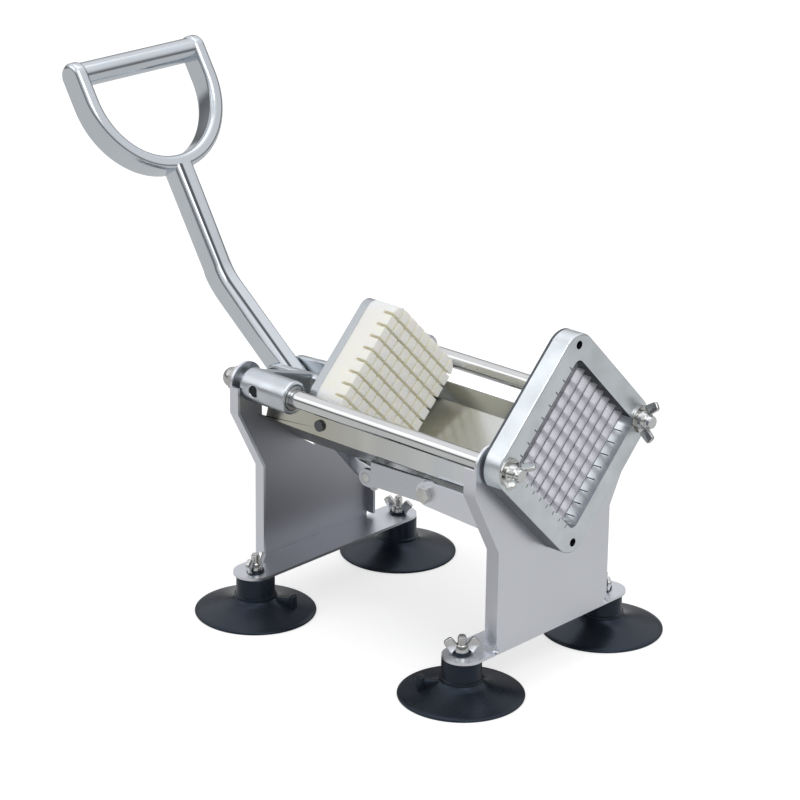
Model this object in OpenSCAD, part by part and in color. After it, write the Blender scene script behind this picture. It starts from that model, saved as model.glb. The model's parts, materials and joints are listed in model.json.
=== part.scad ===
// Hand-lever french fry cutter on four suction feet.
// Millimetres. +Z is up and the table is z = 0. The origin is the middle of the
// four feet, +X points to the blade head and -Y is the near side.
// "near" pieces lie at -Y and "far" pieces at +Y.

/* [Blade grid] */
// Distance from one blade to the next, which is the width of a fry
pitch = 9.525; // [8:0.5:12]
// Fries across the grid, each way
cells = 9; // [7:1:9]
// Thickness of one blade
blade_t = 0.7; // [0.4:0.1:1.2]
// Width of one blade, front edge to rear edge
blade_w = 7; // [5:0.5:9]
// How far each blade end sits in its slit
blade_seat = 3; // [2:0.5:5]
// Depth of the front blades behind the face of the holder
blade_recess = 5; // [4:0.5:6]

/* [Head] */
// Width of the holder's rim around the opening
rim_w = 16.1; // [15:0.1:20]
// Radius of the holder's corners
head_corner_r = 17; // [12:1:20]
// Radius of the opening's corners
open_corner_r = 5.5; // [3:0.5:8]
// Thickness of the cast holder
holder_t = 13; // [13:0.5:18]
// Thickness of the plate behind the holder
back_t = 2; // [1.5:0.5:4]
// Radius of the dowel holes in the top and bottom corners
dowel_hole_r = 2.9; // [2:0.1:4]
// Distance of the dowel holes from the holder's tips
dowel_inset = 7.34; // [6:0.2:8]

/* [Guide rods] */
// Clear length between the two legs
span = 220; // [210:1:240]
// Distance of each rod from the holder's tips
rod_inset = 9.64; // [9:0.2:11]
// Height of the rods and of the middle of the head
rod_z = 164.8; // [160:1:175]
// Radius of a rod
rod_r = 6; // [5:0.25:7]
// Radius of the threaded ends
rod_end_r = 5; // [4:0.25:5]
// Length of the threaded end in front of the head
rod_front_len = 11; // [11:0.5:16]
// Length of the threaded end behind the rear leg
rod_rear_len = 10; // [8:0.5:12]

/* [Trough] */
// Sheet thickness of the trough
trough_t = 1.5; // [1:0.25:2]
// Half of the trough's outer width
trough_half = 56.5; // [54:0.5:57]
// Rise of each sloping wall from the middle to the lip
trough_rise = 38; // [34:1:38]
// Height of the upright lips
lip_h = 12.7; // [8:0.5:13]
// Distance from the blade opening's lowest corner down to the trough
trough_drop = 2.5; // [2:0.5:5]
// Half of the width of the lever's slot
slot_half = 11; // [10.5:0.5:14]
// Length of the lever's slot from the rear leg
slot_len = 120; // [116:1:130]
// Distance from the rear leg to the start of the lips
lip_start = 8; // [6:0.5:12]

/* [Legs] */
// Sheet thickness of the legs
leg_t = 2; // [1.5:0.25:2]
// Half of the width of a leg's lower part
leg_half = 57; // [50:1:60]
// Height of the top face of the foot flanges
foot_z = 30; // [28:1:34]
// Height where the leg starts to widen
waist_z = 101; // [95:1:105]
// Height where the leg is at its widest
shoulder_z = 146; // [140:1:150]
// Radius of the ears around the rods
ear_r = 14.5; // [14.5:0.25:16]
// Depth of the rear leg's side flanges
rear_flange = 8; // [6:0.5:9]
// Depth of the front leg's side flanges
front_flange = 10.5; // [8:0.5:13]
// Width of the foot flanges, front to back
foot_w = 29; // [27:0.5:32]
// Distance from the inner edge of a foot flange to the middle of its cups
foot_hole_in = 13; // [12:0.5:14]
// Radius of the relief cuts where a foot flange is bent
relief_r = 2.5; // [1.5:0.25:3]

/* [Suction feet] */
// Distance of the cups from the middle plane
foot_y = 73.2; // [70:1:75]
// Radius of a cup at the table
cup_r = 42.5; // [38:0.5:44]
// Height of the cup's dome
dome_h = 10; // [8:0.5:12]
// Radius of the cup's neck
neck_r = 13.5; // [12:0.5:14]
// Wall of the cup's dome at its rim
rim_t = 1.6; // [1.2:0.1:2]
// Radius of the cup's stud
stud_r = 3; // [2.5:0.25:4.5]
// Length of the stud above the foot flange
stud_up = 13; // [12.5:0.5:16]
// Depth of the stud in the neck
stud_down = 16; // [10:1:16]
// Distance of the lift tab from the middle of its cup
tab_out = 27; // [24:0.5:30]
// Height of the lift tab's top
tab_top = 15; // [13:0.5:17]
// Thickness of the lift tab
tab_t = 5; // [4:0.5:6]
// Width of the lift tab
tab_w = 7.5; // [6:0.5:9]
// Width of the rib from the tab to the neck
tab_rib = 4; // [3:0.5:5]

/* [Carriage] */
// Radius of the bosses around the rods
boss_r = 11.75; // [11:0.25:12]
// Length of the bosses
boss_len = 42; // [36:1:44]
// Gap between the rear leg and the bosses when the lever is back
rest_gap = 4; // [3:0.5:6]
// Radius of the bushes, outside
bush_r = 8.5; // [8:0.25:9]
// Thickness of the casting's cross web
web_t = 8; // [6:0.5:10]
// Height of the web's top edge in the middle
web_mid_z = 157; // [155:0.5:160]
// Depth of the web in the middle
web_depth = 19; // [16:0.5:20]
// Thickness of each fork cheek
cheek_t = 5.5; // [4:0.5:7]
// Gap between a fork cheek and the lever
cheek_gap = 1; // [0.5:0.25:1.5]
// Distance of the fork pin behind the bosses
fork_back = 28.5; // [27:0.5:30]
// Distance of the fork pin below the web's top edge
fork_drop = 10; // [9:0.5:11]
// Radius of the fork's round ends
cheek_r = 10.5; // [9:0.5:12]
// Thickness of the pad that carries the pusher
pad_t = 5.5; // [4:0.5:8]
// Half of the pad's width
pad_half = 34; // [30:1:36]
// Distance of the pad's middle below the rods
pad_drop = 7; // [5:0.5:9]
// Distance of the pad's face in front of the bosses
pad_reach = 3.5; // [2.5:0.5:5]
// Distance of the web from the bosses' rear ends
web_in = 2; // [1:0.5:4]
// Height of the pad
pad_h = 38; // [34:1:40]
// Distance of the block's studs from the pad's side edges
stud_in_y = 10; // [8:0.5:12]
// Distance of the block's studs from the pad's top and bottom edges
stud_in_z = 8; // [7:0.5:10]
// Distance of the set screws from the bosses' rear ends
set_screw_x = 12.8; // [10:0.5:16]
// Radius of the set screws in the bosses
set_screw_r = 4; // [3:0.25:4.5]

/* [Pusher] */
// Thickness of the metal plate behind the block
plate_t = 6.5; // [4:0.5:8]
// Thickness of the block without its pegs
block_t = 15; // [12:0.5:18]
// Length of the pegs
peg_len = 8.5; // [8:0.5:10]
// Gap between two pegs, where a blade passes
peg_gap = 1.9; // [1.6:0.1:2.4]
// Gap all round between the block and the blade opening
block_gap = 0.5; // [0.4:0.1:1]
// Radius of the block's corners
block_corner_r = 9; // [6:0.5:10]
// Radius of the studs that hold the block
block_stud_r = 3; // [2.5:0.25:3.5]
// Depth of the studs in the block
stud_seat = 6; // [5:0.5:9]
// Length of the studs behind the pad
stud_back = 7; // [6:0.5:8]
// Thickness of the studs' nuts
stud_nut_t = 5; // [4:0.5:6]

/* [Lever] */
// Lean of the lever's lower part from the table, handle back
lever_angle = 141; // [139:0.5:141]
// Bend between the lower and the upper part
lever_bend = 19.8; // [15:0.2:24]
// Lean of the lever's short arm below the fork pin
short_angle = 150.2; // [149.5:0.1:150.5]
// Distance from the fork pin to the links' pin
lever_short = 100.9; // [100.5:0.1:101.5]
// How much steeper the short arm starts than it leans as a whole
short_sag = 3.1; // [2.5:0.1:3.5]
// Distance from the fork pin to the short arm's own bend
short_knee = 87.5; // [84:0.5:90]
// Radius of the short arm's round end, which is half of its depth at its own bend
eye_r = 6.6; // [6.2:0.1:7.2]
// Distance from the fork pin to the bend
lever_mid = 86.5; // [80:1:92]
// Distance from the bend to the grip's foot
lever_top = 83.7; // [78:1:90]
// Radius of the bend, on the lever's middle line
lever_bend_r = 60; // [40:5:80]
// Width of the lever across the machine
lever_w = 17; // [14:0.5:17]
// Depth of the lever
lever_d = 18; // [16:0.5:18]
// Radius of the fork pin
pin_r = 5; // [4:0.25:6]

/* [Grip] */
// Outer radius of the D frame
grip_r = 62.5; // [58:0.5:66]
// Wall of the D frame, seen from the front
grip_wall = 11; // [10:0.5:14]
// Depth of the D frame
grip_depth = 20; // [16:0.5:22]
// Length of the D frame's straight arms
grip_arm = 32; // [24:1:36]
// Radius of the round grip bar
bar_r = 8.75; // [7:0.25:9.5]
// Distance from the arms' tips down to the grip bar's middle line
bar_drop = 10; // [9.5:0.5:12]

/* [Links] */
// Half of the width of a link at its front end
link_half = 8.5; // [7:0.5:9]
// Half of the width of a link at its rear end
link_rear_half = 6.5; // [6:0.25:7]
// Thickness of a link
link_t = 3; // [2:0.25:3]
// Gap between the lever and a link
link_gap = 3; // [2.5:0.25:4]
// Distance from a link's rear pin to its rear bend
link_rear_flat = 8; // [7:0.5:10]
// Distance from a link's front pin to its front bend
link_front_flat = 51; // [48:1:53]
// How much lower a link is at its front bend than at its front pin
link_dip = 1.3; // [0:0.1:3]
// Distance from the front leg back to the links' front pins
link_pin_back = 57; // [56:0.5:60]
// Height of the links' front pins
link_pin_z = 127.5; // [127:0.25:128]
// Thickness of the front leg's arms
arm_t = 2.5; // [2:0.25:3]
// How much deeper the arms are at the front leg than at their pins
arm_flare = 3; // [0:0.5:4]
// Distance of the arms' inner faces from the middle plane
arm_y = 60.8; // [60.8:0.1:62]
// Radius of the bolts at the links' front ends
link_bolt_r = 3; // [2.5:0.25:3.5]
// Thickness of those bolts' heads
bolt_head_t = 4; // [3:0.5:5]
// Thickness of those bolts' nuts
bolt_nut_t = 4; // [3:0.5:4.5]
// Wall of the sleeve in the lever's end
sleeve_wall = 1.5; // [1:0.25:2]

/* [Fasteners] */
// Thickness of the head's washers
head_washer_t = 1.6; // [1:0.1:2.5]
// Radius of the head's washers
head_washer_r = 9.5; // [8.5:0.25:10]
// Span of the head's wing nuts
head_wing_span = 28.5; // [26:0.5:36]
// Thickness of the foot washers
foot_washer_t = 1.6; // [1:0.1:2.5]
// Radius of the foot washers
foot_washer_r = 6.2; // [6:0.2:9]
// Span of the foot wing nuts
foot_wing_span = 24; // [22:1:32]
// Thickness of the wing nuts' wings
wing_t = 2.8; // [2.2:0.2:3.6]
// Half of the width of a wing
wing_half = 3.3; // [2.8:0.1:4]
// Radius of a wing's corners
wing_corner = 1.8; // [1:0.2:2.4]
// Lean of the wings outwards
wing_lean = 36; // [25:1:45]
// Height of the foot wing nuts
foot_wing_h = 10; // [9:0.5:13]
// Height of the head's wing nuts
head_wing_h = 12; // [11:0.5:14]
// Distance of the trough's screws from the rear leg
trough_screw_x = 60; // [50:1:70]
// Radius of the trough's screws
trough_screw_r = 2; // [1.5:0.25:2.5]

/* [Clearances] */
// Radial clearance of a running fit
run_fit = 0.05; // [0.03:0.01:0.08]
// Gap between two blade layers
layer_gap = 0.2; // [0.1:0.1:0.4]
// Gap between faces that slide past each other
side_gap = 0.4; // [0.3:0.1:0.5]

/* [Hidden] */
$fn = 96;
tiny = 0.01;
far_out = 400;

// Head
open_side = cells * pitch;
open_half = open_side / sqrt(2);
head_side = open_side + 2 * rim_w;
head_tip = head_side / sqrt(2) - head_corner_r * (sqrt(2) - 1);
rod_y = head_tip - rod_inset;
dowel_offset = head_tip - dowel_inset;

// Frame
inner_x = span / 2;
outer_x = inner_x + leg_t;
foot_x = outer_x - foot_w + foot_hole_in;
ear_y = rod_y + ear_r;

holder_x = outer_x + back_t;
face_x = holder_x + holder_t;
front_blade_x = face_x - blade_recess - blade_w;
rear_blade_x = front_blade_x - layer_gap - blade_w;

// Room for the blades' ends and for the block in the front leg
clear_side = open_side + 2 * (blade_seat + side_gap);
clear_r = (clear_side / sqrt(2) - (rod_y - rod_end_r - leg_t)) / (sqrt(2) - 1);

// Trough
trough_slope = atan(trough_rise / trough_half);
trough_z = rod_z - open_half - trough_drop;
trough_under = trough_t / cos(trough_slope);
lip_z = trough_z + trough_rise;
lip_top = lip_z + lip_h;
function trough_at(y) = trough_z + abs(y) * tan(trough_slope);

// Carriage and pusher
boss_x = -inner_x + rest_gap;
boss_front = boss_x + boss_len;
web_x = boss_x + web_in;
pad_z = rod_z - pad_drop;
pad_front = boss_front + pad_reach;
plate_x = pad_front;
block_x = plate_x + plate_t;
peg_x = block_x + block_t;
block_side = open_side - 2 * block_gap;

// Lever: points are [x, z] in the middle plane
lever_dir = [cos(lever_angle), sin(lever_angle)];
top_angle = lever_angle - lever_bend;
top_dir = [cos(top_angle), sin(top_angle)];
fork_pin = [boss_x - fork_back, web_mid_z - fork_drop];
link_rear_pin = fork_pin - lever_short * [cos(short_angle), sin(short_angle)];
short_bend = fork_pin - short_knee * [cos(short_angle - short_sag), sin(short_angle - short_sag)];
lever_knee = fork_pin + lever_mid * lever_dir;
grip_foot = lever_knee + lever_top * top_dir;
bend_reach = lever_bend_r * tan(lever_bend / 2);
grip_back = 1.5;

// Links
link_front_pin = [inner_x - link_pin_back, link_pin_z];
link_rear_bend = link_rear_pin + [link_rear_flat, 0];
link_front_bend = link_front_pin - [link_front_flat, link_dip];
link_pin_r = pin_r - sleeve_wall;
link_in_y = lever_w / 2 + link_gap;
link_out_y = arm_y - side_gap - link_t;

// ---------- shapes that repeat ----------

// Extrudes a [y, z] outline along X
module along_x(x0, x1) {
    translate([x0, 0, 0]) rotate([90, 0, 90]) linear_extrude(x1 - x0) children();
}

// Extrudes an [x, z] outline along Y
module along_y(y0, y1) {
    translate([0, y1, 0]) rotate([90, 0, 0]) linear_extrude(y1 - y0) children();
}

// A round bar along Y at an [x, z] point
module pin_y(p, r, y0, y1) {
    along_y(y0, y1) translate(p) circle(r);
}

// A round bar along X at a [y, z] point
module pin_x(p, r, x0, x1) {
    along_x(x0, x1) translate(p) circle(r);
}

module both_sides() {
    children();
    mirror([0, 1, 0]) children();
}

module rounded_square(side, r) {
    square([side, side - 2 * r], center = true);
    square([side - 2 * r, side], center = true);
    for (sx = [-1, 1], sy = [-1, 1]) translate([sx, sy] * (side / 2 - r)) circle(r);
}

module rounded_rect(w, h, r) {
    square([w, h - 2 * r], center = true);
    square([w - 2 * r, h], center = true);
    for (sx = [-1, 1], sy = [-1, 1]) translate([sx * (w / 2 - r), sy * (h / 2 - r)]) circle(r);
}

// The head's square, standing on its corner, as a [y, z] outline
module diamond(side, r) {
    translate([0, rod_z]) rotate(45) rounded_square(side, r);
}

// A wing nut that stands on z = 0
module wing_nut(bore_r, span_w, hub_r, hub_h, wing_h) {
    difference() {
        union() {
            cylinder(r = hub_r, h = hub_h);
            rotate([90, 0, 0]) linear_extrude(wing_t, center = true) {
                wing_shape(span_w, hub_r, hub_h, wing_h);
                mirror([1, 0]) wing_shape(span_w, hub_r, hub_h, wing_h);
            }
        }
        translate([0, 0, -1]) cylinder(r = bore_r, h = wing_h + 2);
    }
}

// One wing: a leaning paddle with rounded corners, as an [outwards, up] outline
module wing_shape(span_w, hub_r, hub_h, wing_h) {
    reach = wing_half - wing_corner;
    up = [sin(wing_lean), cos(wing_lean)];
    out = [cos(wing_lean), -sin(wing_lean)];
    tip = [span_w / 2 - wing_corner - reach * out[0], wing_h - wing_corner + reach * out[1]];
    outer = tip + reach * out;
    inner = tip - reach * out;
    translate(outer) circle(wing_corner);
    translate(inner) circle(wing_corner);
    polygon([[0, 0.6], [hub_r, 0.6], outer + wing_corner * out, outer + wing_corner * up,
        inner + wing_corner * up, inner - wing_corner * out, [hub_r * 0.72, hub_h], [0, hub_h]]);
}

module hex(across, h) {
    cylinder(r = across / sqrt(3), h = h, $fn = 6);
}

// ---------- legs ----------

// Outline of half a leg: side, shoulder, ear and V notch
module leg_half_shape() {
    polygon([[0, foot_z - leg_t], [leg_half, foot_z - leg_t], [leg_half, waist_z],
        [ear_y, shoulder_z], [ear_y, rod_z], [rod_y - ear_r, rod_z],
        [rod_y - ear_r, trough_at(rod_y - ear_r) - trough_under], [0, trough_z - trough_under]]);
    translate([rod_y, rod_z]) circle(ear_r);
}

// The side flange's section: a strip one sheet thick that follows the leg's side
module leg_flange_shape() {
    widen = atan((ear_y - leg_half) / (shoulder_z - waist_z));
    lift = leg_t * tan(widen / 2);
    bottom = foot_z + relief_r;
    polygon([[leg_half, bottom], [leg_half, waist_z], [ear_y, shoulder_z], [ear_y, rod_z],
        [ear_y - leg_t, rod_z], [ear_y - leg_t, shoulder_z + lift],
        [leg_half - leg_t, waist_z + lift], [leg_half - leg_t, bottom]]);
}

// A leg with its sheet from x = 0 to x = leg_t, its flanges towards -X
module leg(flange) {
    difference() {
        union() {
            both_sides() {
                along_x(0, leg_t) leg_half_shape();
                along_x(leg_t - flange, leg_t) leg_flange_shape();
            }
            translate([0, 0, foot_z - leg_t]) linear_extrude(leg_t) foot_flange_shape();
        }
        both_sides() {
            pin_x([rod_y, rod_z], rod_end_r, -1, leg_t + 1);
            pin_x([leg_half, foot_z + relief_r / 2], relief_r, -1, leg_t + 1);
            translate([leg_t - foot_w + foot_hole_in, foot_y, 0]) cylinder(r = stud_r, h = foot_z + 1);
        }
    }
}

module foot_flange_shape() {
    r = foot_w / 2;
    translate([leg_t - foot_w, -foot_y]) square([foot_w, 2 * foot_y]);
    for (s = [-1, 1]) translate([leg_t - r, s * foot_y]) circle(r);
}

module rear_leg() {
    color("#c3cad0") translate([-inner_x, 0, 0]) mirror([1, 0, 0]) leg(rear_flange);
}

module front_leg() {
    color("#c9d2da") difference() {
        union() {
            translate([inner_x, 0, 0]) leg(front_flange);
            both_sides() along_y(arm_y, arm_y + arm_t) front_arm_shape();
        }
        both_sides() pin_y(link_front_pin, link_bolt_r, arm_y - 1, arm_y + arm_t + 1);
        along_x(inner_x - 1, outer_x + 1) diamond(clear_side, clear_r);
    }
}

// The arm that runs back from the front leg to the link's pin
module front_arm_shape() {
    translate(link_front_pin) circle(link_half);
    translate(link_front_pin) polygon([[0, link_half], [link_pin_back + tiny, link_half],
        [link_pin_back + tiny, -link_half - arm_flare], [0, -link_half]]);
}

// ---------- trough ----------

module trough_shape() {
    inner = trough_half - trough_t;
    for (s = [-1, 1]) polygon([[0, trough_z], [s * inner, trough_at(inner)], [s * inner, lip_top],
        [s * trough_half, lip_top], [s * trough_half, lip_z - trough_under], [0, trough_z - trough_under]]);
}

module trough() {
    lean = 4;
    color("#cdd5da") difference() {
        along_x(-inner_x, inner_x) trough_shape();
        translate([-inner_x - 1, -slot_half, 0]) cube([slot_len - slot_half + 1, 2 * slot_half, lip_z]);
        translate([-inner_x + slot_len - slot_half, 0, 0]) cylinder(r = slot_half, h = lip_z);
        along_y(-trough_half - 1, trough_half + 1) polygon([[-inner_x - 1, lip_z - 1],
            [-inner_x + lip_start, lip_z - 1], [-inner_x + lip_start + lean, lip_top + 1],
            [-inner_x - 1, lip_top + 1]]);
        pin_y(trough_screw_at(), trough_screw_r, -far_out, far_out);
    }
}

function trough_screw_at() = [-inner_x + trough_screw_x, lip_z + lip_h / 2];

module trough_screws() {
    head_r = trough_screw_r * 2;
    color("silver") both_sides() {
        pin_y(trough_screw_at(), trough_screw_r, trough_half - trough_t - 3.5, trough_half);
        pin_y(trough_screw_at(), head_r, trough_half, trough_half + 2);
        difference() {
            pin_y(trough_screw_at(), head_r, trough_half - trough_t - 2.4, trough_half - trough_t);
            pin_y(trough_screw_at(), trough_screw_r, 0, trough_half);
        }
    }
}

// ---------- guide rods ----------

module guide_rods() {
    color("#d8dde2") both_sides() {
        pin_x([rod_y, rod_z], rod_r, -inner_x, inner_x);
        pin_x([rod_y, rod_z], rod_end_r, -outer_x - rod_rear_len, face_x + rod_front_len);
    }
}

module rod_rear_nuts() {
    nut_h = 8;
    dome_r = rod_end_r + 2.4;
    color("#c8ccd0") both_sides() translate([-outer_x, rod_y, rod_z]) rotate([0, -90, 0]) difference() {
        union() {
            hex(rod_end_r * 3.3, nut_h);
            cylinder(r = dome_r, h = rod_rear_len + 1);
            translate([0, 0, rod_rear_len + 1]) sphere(dome_r);
        }
        translate([0, 0, -1]) cylinder(r = rod_end_r, h = rod_rear_len + 1);
    }
}

// ---------- suction feet ----------

module at_feet() {
    for (sx = [-1, 1], sy = [-1, 1]) translate([sx * foot_x, sy * foot_y, 0]) children();
}

module cup_section() {
    neck_top = foot_z - leg_t;
    bead = 1;
    difference() {
        polygon([[0, 0], [cup_r - 1, 0], [cup_r, 0.8], [cup_r - 1, rim_t + 0.4],
            [cup_r * 0.72, dome_h * 0.5], [neck_r + 7, dome_h * 0.78], [neck_r + 2.5, dome_h],
            [neck_r + bead, dome_h + 1.5], [neck_r + bead, dome_h + 4], [neck_r, dome_h + 5],
            [neck_r, neck_top - 0.6], [neck_r - 0.6, neck_top], [0, neck_top]]);
        polygon([[-1, -1], [cup_r - rim_t - 1.5, -1], [cup_r - rim_t - 2.5, 0.3],
            [cup_r * 0.7, dome_h * 0.5 - rim_t], [neck_r, dome_h * 0.42], [-1, dome_h * 0.42]]);
        translate([-1, neck_top - stud_down]) square([stud_r + 1, stud_down + 1]);
    }
}

module cup_tab() {
    base = dome_h * 0.62;
    translate([tab_out - tab_t / 2, -tab_w / 2, base]) cube([tab_t, tab_w, tab_top - base]);
    translate([neck_r - 1, -tab_rib / 2, base]) cube([tab_out - neck_r + 1, tab_rib, dome_h + 2 - base]);
}

module suction_cups() {
    color("#23262b") for (sx = [-1, 1], sy = [-1, 1]) translate([sx * foot_x, sy * foot_y, 0]) {
        rotate_extrude() cup_section();
        rotate(sy > 0 ? 132 : sx < 0 ? 28 : 229) cup_tab();
    }
}

module cup_studs() {
    color("silver") at_feet() translate([0, 0, foot_z - leg_t - stud_down])
        cylinder(r = stud_r, h = stud_down + leg_t + stud_up);
}

module cup_washers() {
    color("silver") at_feet() translate([0, 0, foot_z]) difference() {
        cylinder(r = foot_washer_r, h = foot_washer_t);
        translate([0, 0, -1]) cylinder(r = stud_r, h = foot_washer_t + 2);
    }
}

module foot_nut(sx, sy, turn) {
    color("#c9ccce") translate([sx * foot_x, sy * foot_y, foot_z + foot_washer_t]) rotate(turn)
        wing_nut(stud_r + run_fit, foot_wing_span, stud_r * 1.65, stud_r * 1.75, foot_wing_h);
}

// ---------- head ----------

module head_frame_shape() {
    difference() {
        diamond(head_side, head_corner_r);
        diamond(open_side, open_corner_r);
        for (s = [-1, 1]) translate([0, rod_z + s * dowel_offset]) circle(dowel_hole_r);
        for (s = [-1, 1]) translate([s * rod_y, rod_z]) circle(rod_end_r);
    }
}

// The blades of one layer: turn is 45 for those that rise towards +Y, -45 for the others
module blade_layer(x0, turn, t, w) {
    length = open_side + 2 * blade_seat;
    translate([0, 0, rod_z]) rotate([turn, 0, 0])
        for (k = [1 : cells - 1]) translate([x0, -length / 2, (k - cells / 2) * pitch - t / 2])
            cube([w, length, t]);
}

module head_back_plate() {
    color("#b9c2ca") difference() {
        along_x(outer_x, holder_x) head_frame_shape();
        blade_layer(rear_blade_x, -45, blade_t, blade_w);
    }
}

module blade_holder() {
    color("#d3dbe2") difference() {
        along_x(holder_x, face_x) head_frame_shape();
        // The slits are open to the face on the near side and end at the blades on the far side
        for (turn = [45, -45]) {
            blade_layer(rear_blade_x, turn, blade_t, face_x - blade_recess - rear_blade_x);
            intersection() {
                blade_layer(rear_blade_x, turn, blade_t, face_x + 1 - rear_blade_x);
                translate([0, -far_out, 0]) cube([far_out, far_out, far_out]);
            }
        }
    }
}

module blades_front() {
    color("#aeb4b9") blade_layer(front_blade_x, 45, blade_t, blade_w);
}

module blades_rear() {
    color("#9aa1a7") blade_layer(rear_blade_x, -45, blade_t, blade_w);
}

module head_washers() {
    color("silver") both_sides() difference() {
        pin_x([rod_y, rod_z], head_washer_r, face_x, face_x + head_washer_t);
        pin_x([rod_y, rod_z], rod_end_r, face_x - 1, face_x + head_washer_t + 1);
    }
}

module head_nut(side, turn) {
    color("#c9ccce") translate([face_x + head_washer_t, side * rod_y, rod_z]) rotate([0, 90, 0])
        rotate(turn) wing_nut(rod_end_r + run_fit, head_wing_span, rod_end_r * 1.3, rod_end_r * 1.2, head_wing_h);
}

// ---------- carriage ----------

module web_half_shape() {
    shelf = lip_top + 1.5;
    polygon([[0, web_mid_z], [5, web_mid_z], [20, web_mid_z + 5.6], [rod_y, rod_z + boss_r],
        [rod_y, shelf], [trough_half - trough_t - 3, shelf], [trough_half - 15, shelf - 7],
        [20, web_mid_z - web_depth], [0, web_mid_z - web_depth]]);
}

module cheek_shape() {
    translate(fork_pin) circle(cheek_r);
    polygon([fork_pin + [0, cheek_r], [web_x + web_t / 2, web_mid_z + 2.5],
        [web_x + web_t / 2, web_mid_z - web_depth - 6], fork_pin - [0, cheek_r]]);
}

module carriage() {
    rib_y = 11.5;
    rib_t = 6;
    cheek_y = lever_w / 2 + cheek_gap;
    color("#aeb6bd") difference() {
        union() {
            both_sides() {
                pin_x([rod_y, rod_z], boss_r, boss_x, boss_front);
                along_x(web_x, web_x + web_t) web_half_shape();
                along_y(cheek_y, cheek_y + cheek_t) cheek_shape();
                translate([web_x, rib_y, web_mid_z - web_depth])
                    cube([pad_front - web_x, rib_t, web_depth + 2]);
            }
            along_x(pad_front - pad_t, pad_front) translate([0, pad_z]) rounded_rect(2 * pad_half, pad_h, 6);
        }
        both_sides() {
            pin_x([rod_y, rod_z], bush_r, boss_x - 1, boss_front + 1);
            pin_y(fork_pin, pin_r, cheek_y - 1, cheek_y + cheek_t + 1);
            pin_y(set_screw_at(), set_screw_r, rod_y, far_out);
            at_block_studs() circle_bore(pad_front - pad_t - 1, pad_front + 1);
        }
    }
}

function set_screw_at() = [boss_x + set_screw_x, rod_z];

module circle_bore(x0, x1) {
    pin_x([0, 0], block_stud_r, x0, x1);
}

module at_block_studs() {
    for (dz = [-1, 1]) translate([0, pad_half - stud_in_y, pad_z + dz * (pad_h / 2 - stud_in_z)]) children();
}

module rod_bushes() {
    color("#a8adb1") both_sides() difference() {
        pin_x([rod_y, rod_z], bush_r, boss_x, boss_front);
        pin_x([rod_y, rod_z], rod_r + run_fit, boss_x - 1, boss_front + 1);
    }
}

module boss_screws() {
    color("#6d7378") both_sides() difference() {
        pin_y(set_screw_at(), set_screw_r, rod_y, rod_y + boss_r - 1.5);
        pin_x([rod_y, rod_z], bush_r, boss_x - 1, boss_front + 1);
    }
}

// ---------- pusher ----------

module pusher_back_plate() {
    color("#8f979d") difference() {
        along_x(plate_x, block_x) diamond(block_side, block_corner_r);
        both_sides() at_block_studs() circle_bore(plate_x - 1, block_x + 1);
    }
}

module pusher_block() {
    cut_len = open_side + 10;
    color("#f1ead0") difference() {
        along_x(block_x, peg_x + peg_len) diamond(block_side, block_corner_r);
        for (turn = [45, -45]) translate([0, 0, rod_z]) rotate([turn, 0, 0])
            for (k = [1 : cells - 1])
                translate([peg_x, -cut_len / 2, (k - cells / 2) * pitch - peg_gap / 2])
                    cube([peg_len + 1, cut_len, peg_gap]);
        both_sides() at_block_studs() circle_bore(block_x - 1, block_x + stud_seat);
    }
}

module pusher_studs() {
    color("silver") both_sides() at_block_studs()
        circle_bore(pad_front - pad_t - stud_back, block_x + stud_seat);
}

module pusher_nuts() {
    x0 = pad_front - pad_t - stud_nut_t;
    color("silver") both_sides() at_block_studs() difference() {
        translate([x0, 0, 0]) rotate([0, 90, 0]) hex(block_stud_r * 3.3, stud_nut_t);
        circle_bore(x0 - 1, x0 + stud_nut_t + 1);
    }
}

// ---------- lever ----------

// The bend: a sector of a ring that joins the lower and the upper part
module bend_shape() {
    centre = lever_knee - bend_reach * lever_dir + lever_bend_r * [lever_dir[1], -lever_dir[0]];
    reach = 4 * lever_bend_r;
    translate(centre) intersection() {
        difference() {
            circle(lever_bend_r + lever_d / 2);
            circle(lever_bend_r - lever_d / 2);
        }
        polygon([[0, 0], reach * [cos(lever_angle + 90), sin(lever_angle + 90)],
            reach * [cos(top_angle + 90), sin(top_angle + 90)]]);
    }
}

// A straight stretch of the lever from point a to point b, with square ends
module bar_shape(a, b) {
    d = b - a;
    translate(a) rotate(atan2(d[1], d[0])) translate([0, -lever_d / 2]) square([norm(d), lever_d]);
}

// The lower part and the short arm below the fork pin, down to the eye for the sleeve
module lower_lever_shape() {
    start = lever_knee - (bend_reach - tiny) * lever_dir;
    first = short_angle - short_sag;
    last = lean_of(link_rear_pin, short_bend);
    ribbon([aside(link_rear_pin, last, eye_r),
        aside(short_bend, (first + last) / 2, eye_r / cos((first - last) / 2)),
        aside(fork_pin, (lever_angle + first) / 2, lever_d / 2 / cos((lever_angle - first) / 2)),
        aside(start, lever_angle, lever_d / 2)]);
    translate(link_rear_pin) circle(eye_r);
}

// The lean of the line from point a to point b
function lean_of(a, b) = atan2(b[1] - a[1], b[0] - a[0]);

// Two points beside point p, square to a lean
function aside(p, lean, half) = [p + half * [sin(lean), -cos(lean)], p - half * [sin(lean), -cos(lean)]];

// A closed outline through pairs of side points, in the direction of their lean
module ribbon(pairs) {
    last = len(pairs) - 1;
    polygon([for (k = [0 : last]) pairs[k][0], for (k = [0 : last]) pairs[last - k][1]]);
}

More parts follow.
